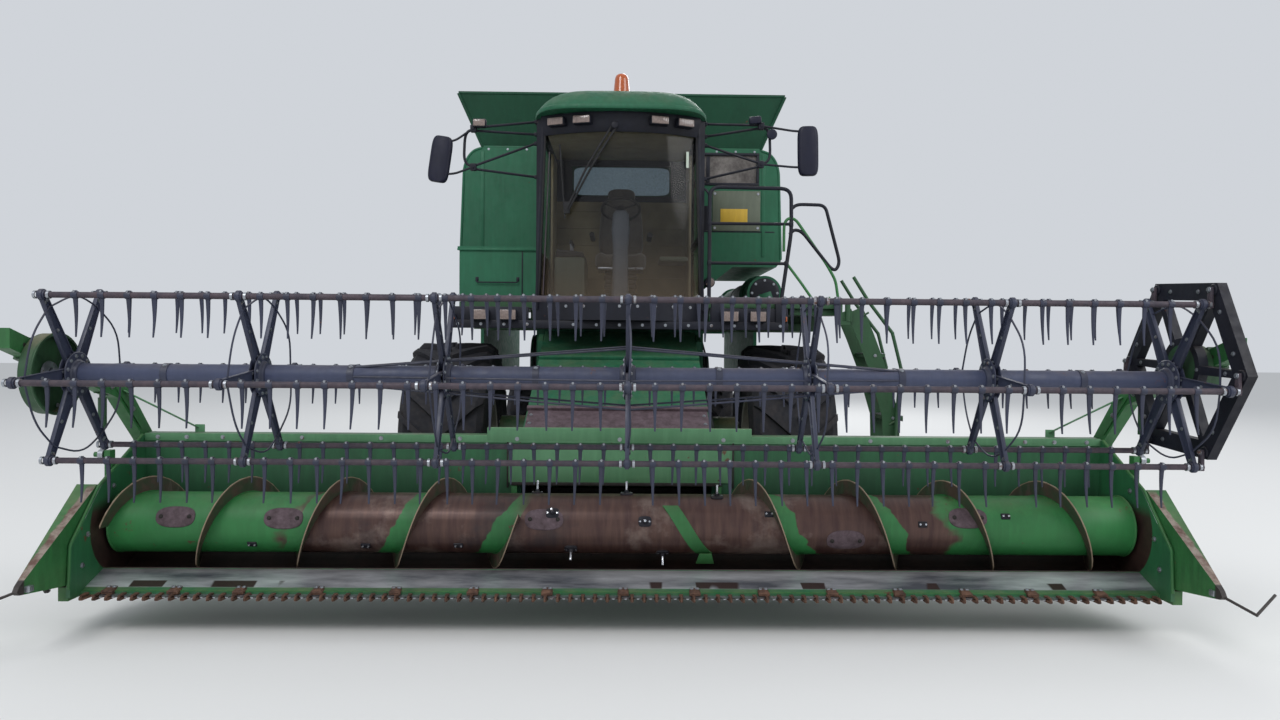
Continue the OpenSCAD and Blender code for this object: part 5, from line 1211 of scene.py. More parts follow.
headerTrim = {"clips": (-3.12, -2.72, -2.32, -1.84, -1.36, -0.88, -0.42, 0.053, 0.50, 0.93, 1.36, 1.78, 2.20,
                        2.617, 3.05),
              "railBolts": (-2.75, -2.2, -1.65, -1.1, 1.24, 1.79, 2.34, 2.89, -3.2, -3.0, 3.1, 3.33, -0.7,
                            0.75, 0.02),
              "ribs": ((-3.218, 0.42), (-3.218, 1.07), (-3.13, 1.07), (-3.17, 0.42)),
              "skidX": (-2.6, -1.5, 1.64, 2.74),
              "skid": ((-3.70, 0.300), (-3.86, 0.225), (-3.80, 0.212), (-3.50, 0.205), (-3.38, 0.225),
                       (-3.36, 0.25), (-3.5, 0.222), (-3.78, 0.226)),
              "sheetEdge": ((-3.252, 1.156), (-3.76, 0.884), (-4.058, 0.565), (-4.078, 0.30)),
              "sheetBolts": ((-3.42, 0.98), (-3.62, 0.86), (-3.90, 0.60), (-3.96, 0.42), (-3.35, 0.72))}


# Painted strip over the cutterbar, with rusty hold-down clips along it
def addClips(bm):
    y, z = header["knifeY"], header["knifeZ"]
    box(bm, (header["left"] + 0.002, y + 0.002, z), (header["right"] - 0.002, y + 0.040, z + 0.006), 0.0015)
    ramp = [(0.05, 0.012), (0.05, 0.022), (-0.01, 0.018), (-0.028, 0.004), (-0.028, -0.002)]
    for x in headerTrim["clips"]:
        box(bm, (x - 0.035, y - 0.028, z - 0.0105), (x + 0.035, y + 0.050, z + 0.012), 0.003, 1)
        plate(bm, [(y + dy, z + dz) for dy, dz in ramp], "X", x - 0.028, x + 0.028, 0.002, 1)
        for dx in (-0.017, 0.017):
            bolt(bm, (x + dx, y + 0.028, z + 0.020), (0, 0.07, 1), 0.010, 2)


# Back sheet: top rail, raised middle, rear ribs, skid shoes and the frame of the feeder's mouth
def addBackSheet(bm):
    left, right, y = header["left"], header["right"], header["backY"]
    # top rail, raised middle and its panel in the lighter green: painted highlight
    box(bm, (left, y - 0.014, 1.115), (right, y, 1.168), 0.003, 3)
    box(bm, (-0.91, y - 0.016, 1.13), (0.95, y + 0.02, 1.222), 0.006, 3)
    box(bm, (-0.766, y - 0.011, 0.835), (0.82, y, 1.10), 0.006, 3)
    for x in (-0.766, 0.82):
        box(bm, (x - 0.006, y - 0.016, 0.80), (x + 0.006, y, 1.12), 0.002, 4)
    bolts(bm, [(x, y - 0.014, 1.142) for x in headerTrim["railBolts"]], (0, -1, 0), 0.010, 2)
    for x in (-0.72, 0.72):
        box(bm, (x - 0.02, y - 0.012, 0.48), (x + 0.02, y, 0.83), 0.003, 0)
    box(bm, (-0.74, y - 0.018, 0.815), (0.74, y + 0.005, 0.838), 0.003, 4)
    for x in spread(left + 0.3, right - 0.3, 13):
        if abs(x) > 0.95:
            plate(bm, headerTrim["ribs"], "X", x - 0.004, x + 0.004)
    for x in headerTrim["skidX"]:
        plate(bm, headerTrim["skid"], "X", x - 0.07, x + 0.07, 0.003, 4)


# Edge pipe of one end sheet, its bolts and the auger's bearing plate
def addEndSheet(bm, side, x):
    y, z = header["augerY"], header["augerZ"]
    pipe(bm, [(x, *p) for p in headerTrim["sheetEdge"]], 0.010, 0.02)
    inner = x - side * 0.0125
    bolts(bm, [(inner, *p) for p in headerTrim["sheetBolts"]], (-side, 0, 0), 0.012, 2)
    face = inner - side * 0.010
    drum(bm, (inner, y, z), (face, y, z), 0.105, sides=32, soft=0.003, mat=4)
    bolts(bm, circle((face, y, z), 0.085, 6, 30), (-side, 0, 0), 0.009, 2)


def addHeaderTrim():
    bm = bmesh.new()
    addClips(bm)
    addBackSheet(bm)
    addEndSheet(bm, -1, header["left"] - 0.012)
    addEndSheet(bm, 1, header["right"] + 0.012)
    # knob on its thin rod at one end, drive bars at the other
    pipe(bm, [(-3.315, -3.86, 0.42), (-3.40, -3.90, 0.33), (-3.52, -3.93, 0.26)], 0.007, mat=2)
    knob = [(0, 0), (0.018, 0.004), (0.022, 0.016), (0.018, 0.03), (0, 0.034)]
    lathe(bm, knob, (-3.51, -3.928, 0.265), (-0.09, -0.012, -0.035), 16, 4)
    pipe(bm, [(3.44, -3.86, 0.40), (3.56, -3.88, 0.34), (3.66, -3.90, 0.28)], 0.014, mat=4)
    pipe(bm, [(3.44, -3.95, 0.33), (3.55, -3.96, 0.28)], 0.018, mat=4)
    box(bm, (3.44, -3.98, 0.25), (3.53, -3.80, 0.32), 0.008, 4)
    finish(bm, "headerTrim", [headerGreen, guardRust, steel, highlightGreen, ironDark], "header")


divider = {"out": 0.155, "bolts": ((-3.74, 0.40), (-3.74, 0.80), (-3.80, 0.60)),
           "rib": ((0.004, -3.72, 0.45), (0.028, -4.0, 0.43), (0.075, -4.35, 0.41))}


def addDividerTrim():
    bm = bmesh.new()
    for side, x in ((-1, header["left"]), (1, header["right"])):
        out = x + side * divider["out"]
        bolts(bm, [(out, *p) for p in divider["bolts"]], (side, 0, 0), 0.012, 1)
        pipe(bm, [(out - side * inset, y, z) for inset, y, z in divider["rib"]], 0.008, 0.1)
        box(bm, (x + side * 0.03 - 0.012, -4.44, 0.385), (x + side * 0.03 + 0.03, -4.40, 0.42), 0.004, 1)
    finish(bm, "dividerTrim", [headerGreen, steel], "header")


# Places on the auger's tube are (x, degrees above the front)
auger = {"r": 0.197, "covers": ((-2.83, 20), (-2.139, 18), (-0.463, 18), (2.3, 25), (1.5, -20)),
         "clips": ((-2.35, -35), (-1.62, -38), (-1.02, -36), (1.0, 30), (2.0, 12), (2.55, 28)),
         "fingers": 5, "fingerGap": 0.12, "fingerTurn": 75, "ends": (-3.26, 3.40)}


# Frame on the auger's tube, with Z outward
def onAuger(x, lift):
    a = math.radians(lift)
    r = auger["r"]
    return (shift(x, header["augerY"] - r * math.cos(a), header["augerZ"] + r * math.sin(a))
            @ Matrix.Rotation(math.pi / 2 - a, 4, "X"))


def addFinger(bm, i):
    r = auger["r"]
    place = (shift(header["middle"] + i * auger["fingerGap"], header["augerY"], header["augerZ"])
             @ turned(i * auger["fingerTurn"], "X"))
    loft(bm, [[(p[0], p[1], r + h - p[1] ** 2 * 2.4) for p in oval(0.042 * k, 0.034 * k, 4, count=24)]
              for k, h in ((1, -0.004), (1, 0.007), (0.8, 0.011))], 2, place)
    drum(bm, (0, 0, r), (0, 0, r + 0.028), 0.017, 0.012, 16, 0.002, 2, place)
    drum(bm, (0, 0, r + 0.02), (0, 0, r + 0.0855), 0.0086, 0.0086, 16, 0.001, 3, place)
    for dx in (-0.03, 0.03):
        bolt(bm, place @ Vector((dx, 0, r + 0.006)), outward(place), 0.006, 3)


# Paddle strap wound round the tube's middle, and the paddle on it
def addPaddle(bm):
    y, z, r = header["augerY"], header["augerZ"], auger["r"]
    rings = []
    for t in spread(0, 1, 15):
        a, x = math.radians(46 - 106 * t), 0.356 + 0.232 * t
        rings.append([(x + dx, y - (r + dr) * math.cos(a), z + (r + dr) * math.sin(a))
                      for dx, dr in ((-0.05, -0.004), (0.05, -0.004), (0.05, 0.008), (-0.05, 0.008))])
    loft(bm, rings, 4)
    a = math.radians(-58)
    plate(bm, [(0.53, -0.05), (0.65, -0.05), (0.63, 0.035), (0.55, 0.035)], "Y", -0.004, 0.004, 0.001, 4,
          shift(0, y - 0.235 * math.cos(a), z + 0.235 * math.sin(a)) @ turned(30, "X"))


def addAugerTrim():
    bm = bmesh.new()
    dome = [(0.014, 0.004), (0.014, 0.010), (0.008, 0.016), (0, 0.017)]
    for x, lift in auger["covers"]:
        place = onAuger(x, lift)
        loft(bm, [[(p[0], p[1], h - p[1] ** 2 * 2.3) for p in oval(0.125 * k, 0.068 * k, 2.6, count=32)]
                  for k, h in ((1.0, -0.004), (1.0, 0.004), (0.96, 0.007), (0.5, 0.0075))], 0, place)
        for dx in (-0.09, 0.09):
            lathe(bm, dome, place @ Vector((dx, 0, 0)), outward(place), 12, 1)
    for i in range(-auger["fingers"], auger["fingers"] + 1):
        addFinger(bm, i)
    addPaddle(bm)
    for x, lift in auger["clips"]:
        place = onAuger(x, lift)
        box(bm, (-0.03, -0.02, -0.006), (0.03, 0.02, 0.006), 0.004, 2, place)
        for dx in (-0.018, 0.018):
            drum(bm, (dx, 0, 0.004), (dx, 0, 0.014), 0.008, 0.007, 6, 0, 3, place)
    disc = [(0.04, 0), (0.199, 0), (0.203, 0.004), (0.203, 0.010), (0.199, 0.014), (0.04, 0.014)]
    for x in auger["ends"]:
        lathe(bm, disc, (x - 0.007, header["augerY"], header["augerZ"]), (1, 0, 0), 48, 4)
    finish(bm, "augerTrim", [coverRust, ironDark, black, brightSteel, headerGreen], "auger",
           sharp=40)


feeder = {"top": (-3.19, 1.06), "slope": (2.06, 0.87), "bands": ((0.06, 0), (0.62, 0), (1.1, 1), (1.6, 1)),
          "ribs": (((-3.10, 0.66), (-1.30, 1.40)), ((-3.10, 0.98), (-1.30, 1.72))),
          "slats": 9, "mouthY": -3.12, "mouthZ": 0.60, "slatGap": 0.13, "slatRise": 0.045}


def addFeederTrim():
    bm = bmesh.new()
    lean = math.atan2(feeder["slope"][1], feeder["slope"][0])
    slope = shift(0, *feeder["top"]) @ Matrix.Rotation(lean, 4, "X")
    box(bm, (-0.69, 0.03, 0.0), (0.69, 0.60, 0.006), 0.002, 0, slope)
    for y, mat in feeder["bands"]:
        box(bm, (-0.70, y - 0.02, 0.0), (0.70, y + 0.02, 0.03), 0.004, mat, slope)
    for y in spread(0.12, 0.52, 4):
        for x in (-0.66, 0.66):
            bolt(bm, slope @ Vector((x, y, 0.006)), outward(slope), 0.010, 2)
    for side in (-1, 1):  # ribs along the sides
        for (y0, z0), (y1, z1) in feeder["ribs"]:
            place = shift(side * 0.70, y0, z0) @ Matrix.Rotation(math.atan2(z1 - z0, y1 - y0), 4, "X")
            box(bm, (-0.012, 0, -0.02), (0.012, math.hypot(y1 - y0, z1 - z0), 0.02), 0.004, 1, place)
    for i in range(feeder["slats"]):  # conveyor slats and chains seen in the mouth
        y, z = feeder["mouthY"] + i * feeder["slatGap"], feeder["mouthZ"] + i * feeder["slatRise"]
        box(bm, (-0.64, y - 0.012, z), (0.64, y + 0.012, z + 0.05), 0.004, 3)
        for x in (-0.55, 0.0, 0.55):
            box(bm, (x - 0.02, y, z + 0.015), (x + 0.02, y + 0.13, z + 0.035), 0.006, 2)
    finish(bm, "feederTrim", [coverRust, green, steel, ironDark], "header")


tank = {"front": -0.1, "rear": 1.946, "low": (1.47, -0.04, 1.89), "high": (1.69, -0.26, 2.11), "rimZ": 4.396,
        "edge": ((-1.47, 3.866), (-1.56, 3.837), (-1.625, 3.758), (-1.658, 3.65), (-1.688, 2.76),
                 (-1.688, 2.41)),
        "seams": (-1.463, 1.50, -0.80, 0.81)}


# Window with its dirty pane, and the olive panel with a blank plate below it
def addTankFront(bm):
    y = tank["front"]
    box(bm, (0.862, y + 0.011, 3.522), (1.423, y + 0.0138, 3.813), 0, 1)
    box(bm, (0.89, y + 0.002, 3.53), (0.93, y + 0.009, 3.805), 0.003, 2)
    for x0, z0, x1, z1 in ((0.835, 3.497, 1.45, 3.525), (0.835, 3.812, 1.45, 3.84),
                           (0.835, 3.525, 0.865, 3.812), (1.42, 3.525, 1.45, 3.812)):
        box(bm, (x0, y - 0.012, z0), (x1, y + 0.012, z1), 0.004, 2)
    box(bm, (0.96, y - 0.010, 3.02), (1.466, y, 3.44), 0.004, 3)
    box(bm, (1.044, y - 0.014, 3.10), (1.33, y - 0.009, 3.25), 0.002, 4)
    bolts(bm, [(x, y - 0.010, z) for x in (0.985, 1.44) for z in (3.05, 3.41)], (0, -1, 0), 0.009, 5)
    box(bm, (0.83, y - 0.004, 3.005), (1.62, y + 0.001, 3.017), 0.001, 2)
    for x in tank["seams"]:
        box(bm, (x - 0.018, y - 0.007, 2.75), (x + 0.018, y, 3.83), 0.002, 0)
    bolts(bm, [(x, y, 3.853) for x in spread(-1.4, 1.4, 15)], (0, -1, 0), 0.008, 5)


# Flared extension: rolled top edge, folds, corner straps and the flange it stands on
def addExtensionTrim(bm):
    low, high = tank["low"], tank["high"]
    wide, front, rear, z = high[0] - 0.012, high[1] + 0.012, high[2] - 0.012, tank["rimZ"]
    rim = [(wide, front, z), (wide, rear, z), (-wide, rear, z), (-wide, front, z)]
    for a, b in zip(rim, rim[1:] + rim[:1]):
        pipe(bm, [a, b], 0.0135, mat=7)
    for x0, y0, x1, y1 in ((-1.47, -0.052, 1.47, -0.036), (-1.47, 1.886, 1.47, 1.902),
                           (-1.482, -0.04, -1.466, 1.89), (1.466, -0.04, 1.482, 1.89)):
        box(bm, (x0, y0, 3.868), (x1, y1, 3.905), 0.002, 0)
    for t in spread(-0.8, 0.8, 5):
        pipe(bm, [(t * low[0], low[2], 3.90), (t * high[0], high[2], 4.385)], 0.011, mat=7)
        for side in (-1, 1):
            fold = [(side * low[0], 0.925 + t * 0.965, 3.90), (side * high[0], 0.925 + t * 1.185, 4.385)]
            pipe(bm, fold, 0.011, mat=7)
    for side in (-1, 1):
        for end in (1, 2):
            pipe(bm, [(side * low[0], low[end], 3.88), (side * high[0], high[end], 4.39)], 0.016, mat=7)


# Storage box beside the cab: lid lip, seam, bar handle and hinges
def addStorageTrim(bm):
    box(bm, (-1.478, -1.398, 2.655), (-0.762, -1.372, 2.672), 0.003, 0)
    box(bm, (-0.895, -1.386, 2.24), (-0.885, -1.378, 2.65), 0.001, 2)
    left, right = -1.30, -0.93
    pipe(bm, [(left, -1.378, 2.395), (left, -1.400, 2.395), (left, -1.404, 2.366), (right, -1.404, 2.366),
              (right, -1.400, 2.395), (right, -1.378, 2.395)], 0.006, 0.01, mat=2)
    for x in (left, right):
        box(bm, (x - 0.014, -1.384, 2.375), (x + 0.014, -1.378, 2.415), 0.002, 2)
    for y in (-1.2, -0.35):
        drum(bm, (-0.765, y - 0.05, 2.69), (-0.765, y + 0.05, 2.69), 0.012, sides=16, soft=0.002, mat=5)


def addTankTrim():
    bm = bmesh.new()
    addTankFront(bm)
    for line in (tank["edge"], [(-x, max(z, 2.72)) for x, z in tank["edge"]]):
        for y in (tank["front"] + 0.004, tank["rear"]):
            pipe(bm, [(x, y, z) for x, z in line], 0.014, 0.05)
    for side in (-1, 1):  # ribs along the tank's sides
        for y in spread(0.15, 1.7, 5):
            box(bm, (side * 1.675 - 0.018, y - 0.02, 2.78), (side * 1.675 + 0.024, y + 0.02, 3.52), 0.005)
        box(bm, (side * 1.69 - 0.004, -0.06, 3.05), (side * 1.69 + 0.004, 1.91, 3.08), 0.002)
    addExtensionTrim(bm)
    addStorageTrim(bm)
    # pale lamp in its round socket beside the turret
    drum(bm, (0.93, -0.20, 2.47), (0.93, -0.10, 2.47), 0.055, sides=28, soft=0.01, mat=2)
    drum(bm, (0.93, -0.205, 2.47), (0.93, -0.19, 2.47), 0.047, sides=28, soft=0.004, mat=6)
    finish(bm, "tankTrim", [green, dirtyPane, black, olive, plateYellow, steel, paleLens, flareGreen])


# A pulley is (side, y, z, radius, width), and a belt goes round two places given as (y, z, radius)
body = {"half": 0.8, "drive": 0.9, "front": -0.80, "rear": 3.88, "ribs": (-0.6, -0.1, 0.9, 1.65, 2.9, 3.4),
        "rails": (1.15, 2.12), "hoodRibs": ((3.2, 2.45), (3.6, 2.45), (4.0, 2.30)),
        "pulleys": ((1, 0.5, 1.45, 0.26, 0.07), (1, 1.2, 1.75, 0.18, 0.06), (1, 2.3, 1.70, 0.24, 0.06),
                    (-1, 0.5, 1.60, 0.30, 0.08), (-1, 1.3, 1.35, 0.15, 0.06), (-1, 2.6, 1.75, 0.20, 0.06)),
        "leftBelts": (((0.5, 1.45, 0.262), (1.2, 1.75, 0.182)), ((1.2, 1.75, 0.182), (2.3, 1.70, 0.242))),
        "rightBelt": ((0.5, 1.60, 0.302), (1.3, 1.35, 0.152)),
        "rearBelt": ((1.3, 1.35, 0.152), (2.6, 1.75, 0.202))}


def belt(bm, x, a, b):
    (ay, az, ar), (by, bz, br) = a, b
    way = math.atan2(bz - az, by - ay)
    lean = math.acos((ar - br) / math.hypot(by - ay, bz - az))
    loop = [around((x, ay, az), ar, t) for t in spread(way + lean, way + 2 * math.pi - lean, 20)]
    loop += [around((x, by, bz), br, t) for t in spread(way - lean, way + lean, 16)]
    pipe(bm, loop, 0.012, closed=True, mat=1)


# Spoked pulley with its hub and the two rims that hold the belt
def pulley(bm, side, y, z, r, w):
    foot, way = side * body["drive"], (side, 0, 0)
    face = foot + side * w
    lathe(bm, [(r - 0.004, 0), (r - 0.004, 0.006), (r - 0.03, 0.006), (r - 0.035, 0)], (face, y, z), way, 48)
    lathe(bm, [(0.03, 0), (0.065, 0), (0.06, 0.012), (0.03, 0.016)], (face, y, z), way)
    for k in range(5):
        spoke = shift(face, y, z) @ turned(72 * k + 10, "X")
        box(bm, (-0.005, 0.055, -0.018), (0.005, r - 0.025, 0.018), 0.002, 0, spoke)
    for x, lip in ((foot, 0.012), (face - side * 0.008, 0.008)):
        rim = [(r + 0.012, 0.0), (r + 0.012, 0.008), (r - 0.01, lip), (r - 0.01, 0.0)]
        lathe(bm, rim, (x, y, z), way, 48)


# Straw hood: folds, blank plate, red lamps and side ribs
def addStrawHood(bm):
    tilt = shift(0, 4.41, 1.99) @ Matrix.Rotation(math.atan2(0.18, 0.68), 4, "X")
    for x in (-0.79, -0.42, 0.42, 0.79):
        box(bm, (x - 0.014, -0.004, -0.32), (x + 0.014, 0.010, 0.33), 0.003, 2, tilt)
    for z in (-0.32, 0.31):
        box(bm, (-0.79, -0.004, z - 0.014), (0.79, 0.010, z + 0.014), 0.003, 2, tilt)
    box(bm, (-0.26, -0.004, -0.06), (0.26, 0.008, 0.06), 0.003, 4, tilt)
    for side in (-1, 1):
        x = side * 0.62
        box(bm, (x - 0.07, 0.0, -0.22), (x + 0.07, 0.03, -0.14), 0.008, 3, tilt)
        box(bm, (x - 0.06, 0.02, -0.212), (x + 0.06, 0.038, -0.148), 0.006, 5, tilt)
        drum(bm, tilt @ Vector((x, -0.005, 0.02)), tilt @ Vector((x, 0.012, 0.02)), 0.035, soft=0.003, mat=5)
        x = side * body["half"]
        for y, top in body["hoodRibs"]:
            box(bm, (x - 0.006, y - 0.02, 1.45), (x + 0.012, y + 0.02, top), 0.004, 2)
    spots = [tilt @ Vector((x, 0.010, z)) for x in spread(-0.7, 0.7, 8) for z in (-0.32, 0.31)]
    bolts(bm, spots, tilt.to_3x3() @ Vector((0, 1, 0)), 0.009)


def addBodyTrim():
    bm = bmesh.new()
    for row in body["pulleys"]:
        pulley(bm, *row)
    for x in (0.922, 0.948):
        for pair in body["leftBelts"]:
            belt(bm, x, *pair)
        belt(bm, -x, *body["rightBelt"])
    belt(bm, -0.935, *body["rearBelt"])
    for side in (-1, 1):  # pressed ribs and rails on the body's sides
        x = side * body["half"]
        for y in body["ribs"]:
            box(bm, (x - 0.012, y - 0.03, 1.14), (x + 0.018, y + 0.03, 2.10), 0.006, 2)
        for z in body["rails"]:
            box(bm, (x - 0.01, body["front"], z - 0.02), (x + 0.02, body["rear"], z + 0.02), 0.004, 2)
        spots = [(x + side * 0.02, y, z) for y in spread(-0.7, 3.8, 19) for z in body["rails"]]
        bolts(bm, spots, (side, 0, 0), 0.009)
    addStrawHood(bm)
    finish(bm, "bodyTrim", [steel, softRubber, green, black, plateWhite, redLens])


hood = {"half": 0.9, "sideY": (2.02, 2.97), "rear": 2.998, "exhaust": (0.52, 2.7),
        "bands": (3.30, 3.45, 3.62)}


def addHoodTrim():
    bm = bmesh.new()
    half, (front, rear) = hood["half"], hood["sideY"]
    # louvred opening on the left, with its slats tilted
    box(bm, (half, 2.12, 2.32), (half + 0.015, 2.92, 2.98), 0.004, 1)
    for z in spread(2.37, 2.93, 14):
        tilt = shift(half + 0.015, 0, z) @ Matrix.Rotation(0.5, 4, "Y") @ shift(-half - 0.015, 0, -z)
        box(bm, (half + 0.005, 2.15, z - 0.006), (half + 0.035, 2.89, z + 0.006), 0.002, 0, tilt)
    for x in (-half, half):
        for y in (front, rear):
            box(bm, (x - 0.006, y - 0.02, 2.17), (x + 0.010, y + 0.02, 3.10), 0.003)
    for x in spread(-0.6, 0.6, 4):
        box(bm, (x - 0.02, front, 3.228), (x + 0.02, rear, 3.242), 0.003)
    back = hood["rear"]
    for z in (2.45, 2.95):
        box(bm, (-0.78, back, z - 0.015), (0.78, back + 0.012, z + 0.015), 0.003)
    for x in (-0.5, 0.0, 0.5):
        for z in spread(2.5, 2.9, 8):
            box(bm, (x - 0.18, back, z - 0.008), (x + 0.18, back + 0.016, z + 0.004), 0.002, 1)
    # exhaust: heat shield bands, rolled mouth and rain cap
    x, y = hood["exhaust"]
    for z in hood["bands"]:
        lathe(bm, [(0.06, 0), (0.068, 0), (0.068, 0.02), (0.06, 0.02)], (x, y, z), (0, 0, 1), mat=2)
    mouth = [(0.050, 0.0), (0.0625, 0.0), (0.0645, 0.01), (0.050, 0.012), (0.050, 0.0)]
    lathe(bm, mouth, (x, y, 3.775), (0, 0, 1), mat=2)
    cap = shift(x, y, 3.80) @ Matrix.Rotation(-0.5, 4, "Y")
    box(bm, (-0.06, -0.06, 0.0), (0.07, 0.06, 0.008), 0.004, 2, cap)
    finish(bm, "hoodTrim", [green, ironDark, guardRust])


dustScreen = {"at": (-0.990, 2.48, 2.71), "wires": (0.13, 0.21, 0.29, 0.36, 0.396), "spokes": 12,
              "rows": spread(0.09, 0.385, 17), "gap": 0.02, "hoops": (0.01, 0.075)}


def addScreenTrim():
    bm = bmesh.new()
    at = dustScreen["at"]
    for r in dustScreen["wires"]:
        pipe(bm, circle(at, r, 48), 0.006, closed=True)
    for ends in zip(circle(at, 0.05, dustScreen["spokes"]), circle(at, 0.395, dustScreen["spokes"])):
        pipe(bm, ends, 0.006)
    spots = []
    for r in dustScreen["rows"]:
        spots += [shift(*p) for p in circle(at, r, int(2 * math.pi * r / dustScreen["gap"]))]
    stamp(bm, lambda b: drum(b, (0.0002, 0, 0), (-0.0006, 0, 0), 0.006, sides=6, mat=1), spots)
    lathe(bm, [(0, 0.02), (0.04, 0.018), (0.055, 0.0)], at, (-1, 0, 0))
    for dx in dustScreen["hoops"]:
        hoop = [(0.399, 0), (0.404, 0), (0.404, 0.006), (0.399, 0.006)]
        lathe(bm, hoop, (at[0] + dx, *at[1:]), (1, 0, 0), 64)
    finish(bm, "screenMesh", [black, ironDark], "screen")


unloader = {"x": 1.53, "z": 2.37, "end": 4.786, "bands": (0.33, 1.45, 2.55, 3.60, 4.30),
            "flanges": (0.36, 2.58),
            "skirt": ((-0.178, 4.388, -0.170, 4.764), (0.170, 4.388, 0.178, 4.764),
                      (-0.178, 4.388, 0.178, 4.396), (-0.178, 4.756, 0.178, 4.764))}


def addUnloaderTrim():
    bm = bmesh.new()
    x, z, back = unloader["x"], unloader["z"], (0, 1, 0)
    band = [(0.184, 0), (0.190, 0), (0.191, 0.004), (0.191, 0.04), (0.190, 0.044), (0.184, 0.044)]
    for y in unloader["bands"]:
        lathe(bm, band, (x, y, z), back, 48)
    for y in unloader["flanges"]:
        lathe(bm, [(0.184, 0), (0.215, 0), (0.215, 0.012), (0.184, 0.012)], (x, y + 0.02, z), back, 48)
        bolts(bm, circle((x, y + 0.032, z), 0.204, 12, 15, "Y"), back, 0.008, 1)
    lathe(bm, [(0, 0.006), (0.05, 0.006), (0.06, 0.0)], (x, unloader["end"], z), (0, -1, 0), 32, 1)
    for x0, y0, x1, y1 in unloader["skirt"]:  # rubber skirt round the spout
        box(bm, (x + x0, y0, 2.03), (x + x1, y1, 2.17), 0.002, 2)
    lid = [(0.0, 0.012), (0.12, 0.012), (0.150, 0.008), (0.160, 0.0)]
    lathe(bm, lid, (x, -0.04, z), (0, -1, 0), 48, 3)
    bolts(bm, circle((x, -0.050, z), 0.135, 8, 0, "Y"), (0, -1, 0), 0.009, 1)
    finish(bm, "unloaderTrim", [green, steel, softRubber, black], "unloader")


# Strips on a shield's outer face are (y from, y to, z from, z to, thickness, material)
shield = {"face": 1.51, "rear": 3.25, "latches": (0.85, 1.35, 2.2, 2.95), "posts": (1.05, 1.85, 2.60, 3.27),
          "sides": ((1, "shield_l", "shieldTrimLeft", 0.4), (-1, "shield_r", "shieldTrimRight", 0.15))}


def addShieldTrim():
    for side, rides, name, start in shield["sides"]:
        bm = bmesh.new()
        face, inner = side * shield["face"], side * (shield["face"] - 0.004)

        def strip(y0, y1, z0, z1, thick, mat=0, soft=0.004):
            low, high = sorted((inner, face + side * thick))
            box(bm, (low, y0, z0), (high, y1, z1), soft, mat)

        for z in (1.58, 1.90):
            strip(start + 0.08, shield["rear"], z - 0.02, z + 0.02, 0.012)
        for y in (start + 0.05, *shield["posts"]):
            strip(y - 0.022, y + 0.022, 1.47 if y > 1.7 else 1.05, 2.03, 0.010)
        strip(start + 0.04, 3.30, 2.02, 2.05, 0.012)
        x = face + side * 0.012
        for y in shield["latches"]:
            strip(y - 0.05, y + 0.05, 1.49, 1.53, 0.008, 1)
            box(bm, (x - 0.006, y - 0.012, 1.47), (x + 0.006, y + 0.012, 1.55), 0.002, 2)
        for z in spread(1.64, 1.844, 7):
            strip(2.68, 3.18, z - 0.007, z + 0.007, 0.012, 1, 0.002)
        strip(3.20, 3.28, 1.74, 1.78, 0.010, 3)
        bolts(bm, [(face, y, 2.035) for y in spread(start + 0.15, 3.2, 9)], (side, 0, 0), 0.009, 2)
        finish(bm, name, [green, black, steel, amber], rides)


wheels = {"front": {"x": 1.555, "y": -0.94, "z": 0.91, "disc": 0.06, "rim": 0.406, "hub": 0.0803,
                    "half": 0.3875, "tread": 0.868},
          "rear": {"x": 1.30, "y": 2.61, "z": 0.665, "disc": 0.02, "rim": 0.305, "hub": 0.0423,
                   "half": 0.215, "tread": 0.623}}


# Raised rings moulded on both sidewalls of a tyre
def addSidewalls(bm, w, x, y, z):
    rim = w["rim"]
    sideR = rim + 0.48 * (w["tread"] - rim)
    for way in (-1, 1):
        for t, thick in ((0.12, 0.0035), (0.22, 0.0035), (0.62, 0.0025), (0.9, 0.0025)):
            r = rim + 0.04 + (sideR - rim - 0.04) * t
            out = w["half"] - 0.042 * (1 - t)
            pipe(bm, circle((x + way * out, y, z), r, 72), thick, res=2, closed=True, mat=3)


def addWheelTrim(name, kind, side, rides):
    w = wheels[kind]
    bm = bmesh.new()
    way, (x, y, z) = (side, 0, 0), (side * w["x"], w["y"], w["z"])
    hub, rim, half = w["hub"], w["rim"], w["half"]
    face = x + side * (w["disc"] + 0.012)
    bolts(bm, circle((face, y, z), hub + 0.10, 10), way, 0.017, 1)
    cap = [(hub + 0.006, 0), (hub + 0.055, 0), (hub + 0.048, 0.010), (hub + 0.006, 0.010)]
    lathe(bm, cap, (x + side * (w["disc"] + 0.05), y, z), way, 40)
    lip = [(-0.031, 0), (-0.002, 0), (0.012, 0.008), (0.014, 0.016), (0.002, 0.020), (-0.031, 0.016)]
    lathe(bm, [(rim + dr, h) for dr, h in lip], (x + side * (half - 0.060), y, z), way, 72)
    window = [(0.020, 0.0), (0.030, 0.0), (0.029, 0.006), (0.022, 0.006), (0.020, 0.0)]
    for spot in circle((face, y, z), (hub + rim) / 2 + 0.03, 5, 18):  # pressed windows' lips on the disc
        lathe(bm, window, spot, way, 20)
        # a thin dark disc fills each window: painted shade standing in for the hole
        drum(bm, spot, Vector(spot) + Vector(way) * 0.001, 0.0205, sides=20, mat=2)
    valve = [(x + side * (half - 0.075), y, z + rim - 0.034), (x + side * (half - 0.05), y, z + rim - 0.045)]
    pipe(bm, valve, 0.006, mat=1)
    addSidewalls(bm, w, x, y, z)
    finish(bm, name, [rimGrey, steel, ironDark, tyreRubber], rides)


def addWheels():
    for kind in ("Front", "Rear"):
        for side, word in ((1, "Left"), (-1, "Right")):
            addWheelTrim(f"wheelTrim{kind}{word}", kind.lower(), side, f"wheel_{kind[0]}{word[0]}".lower())


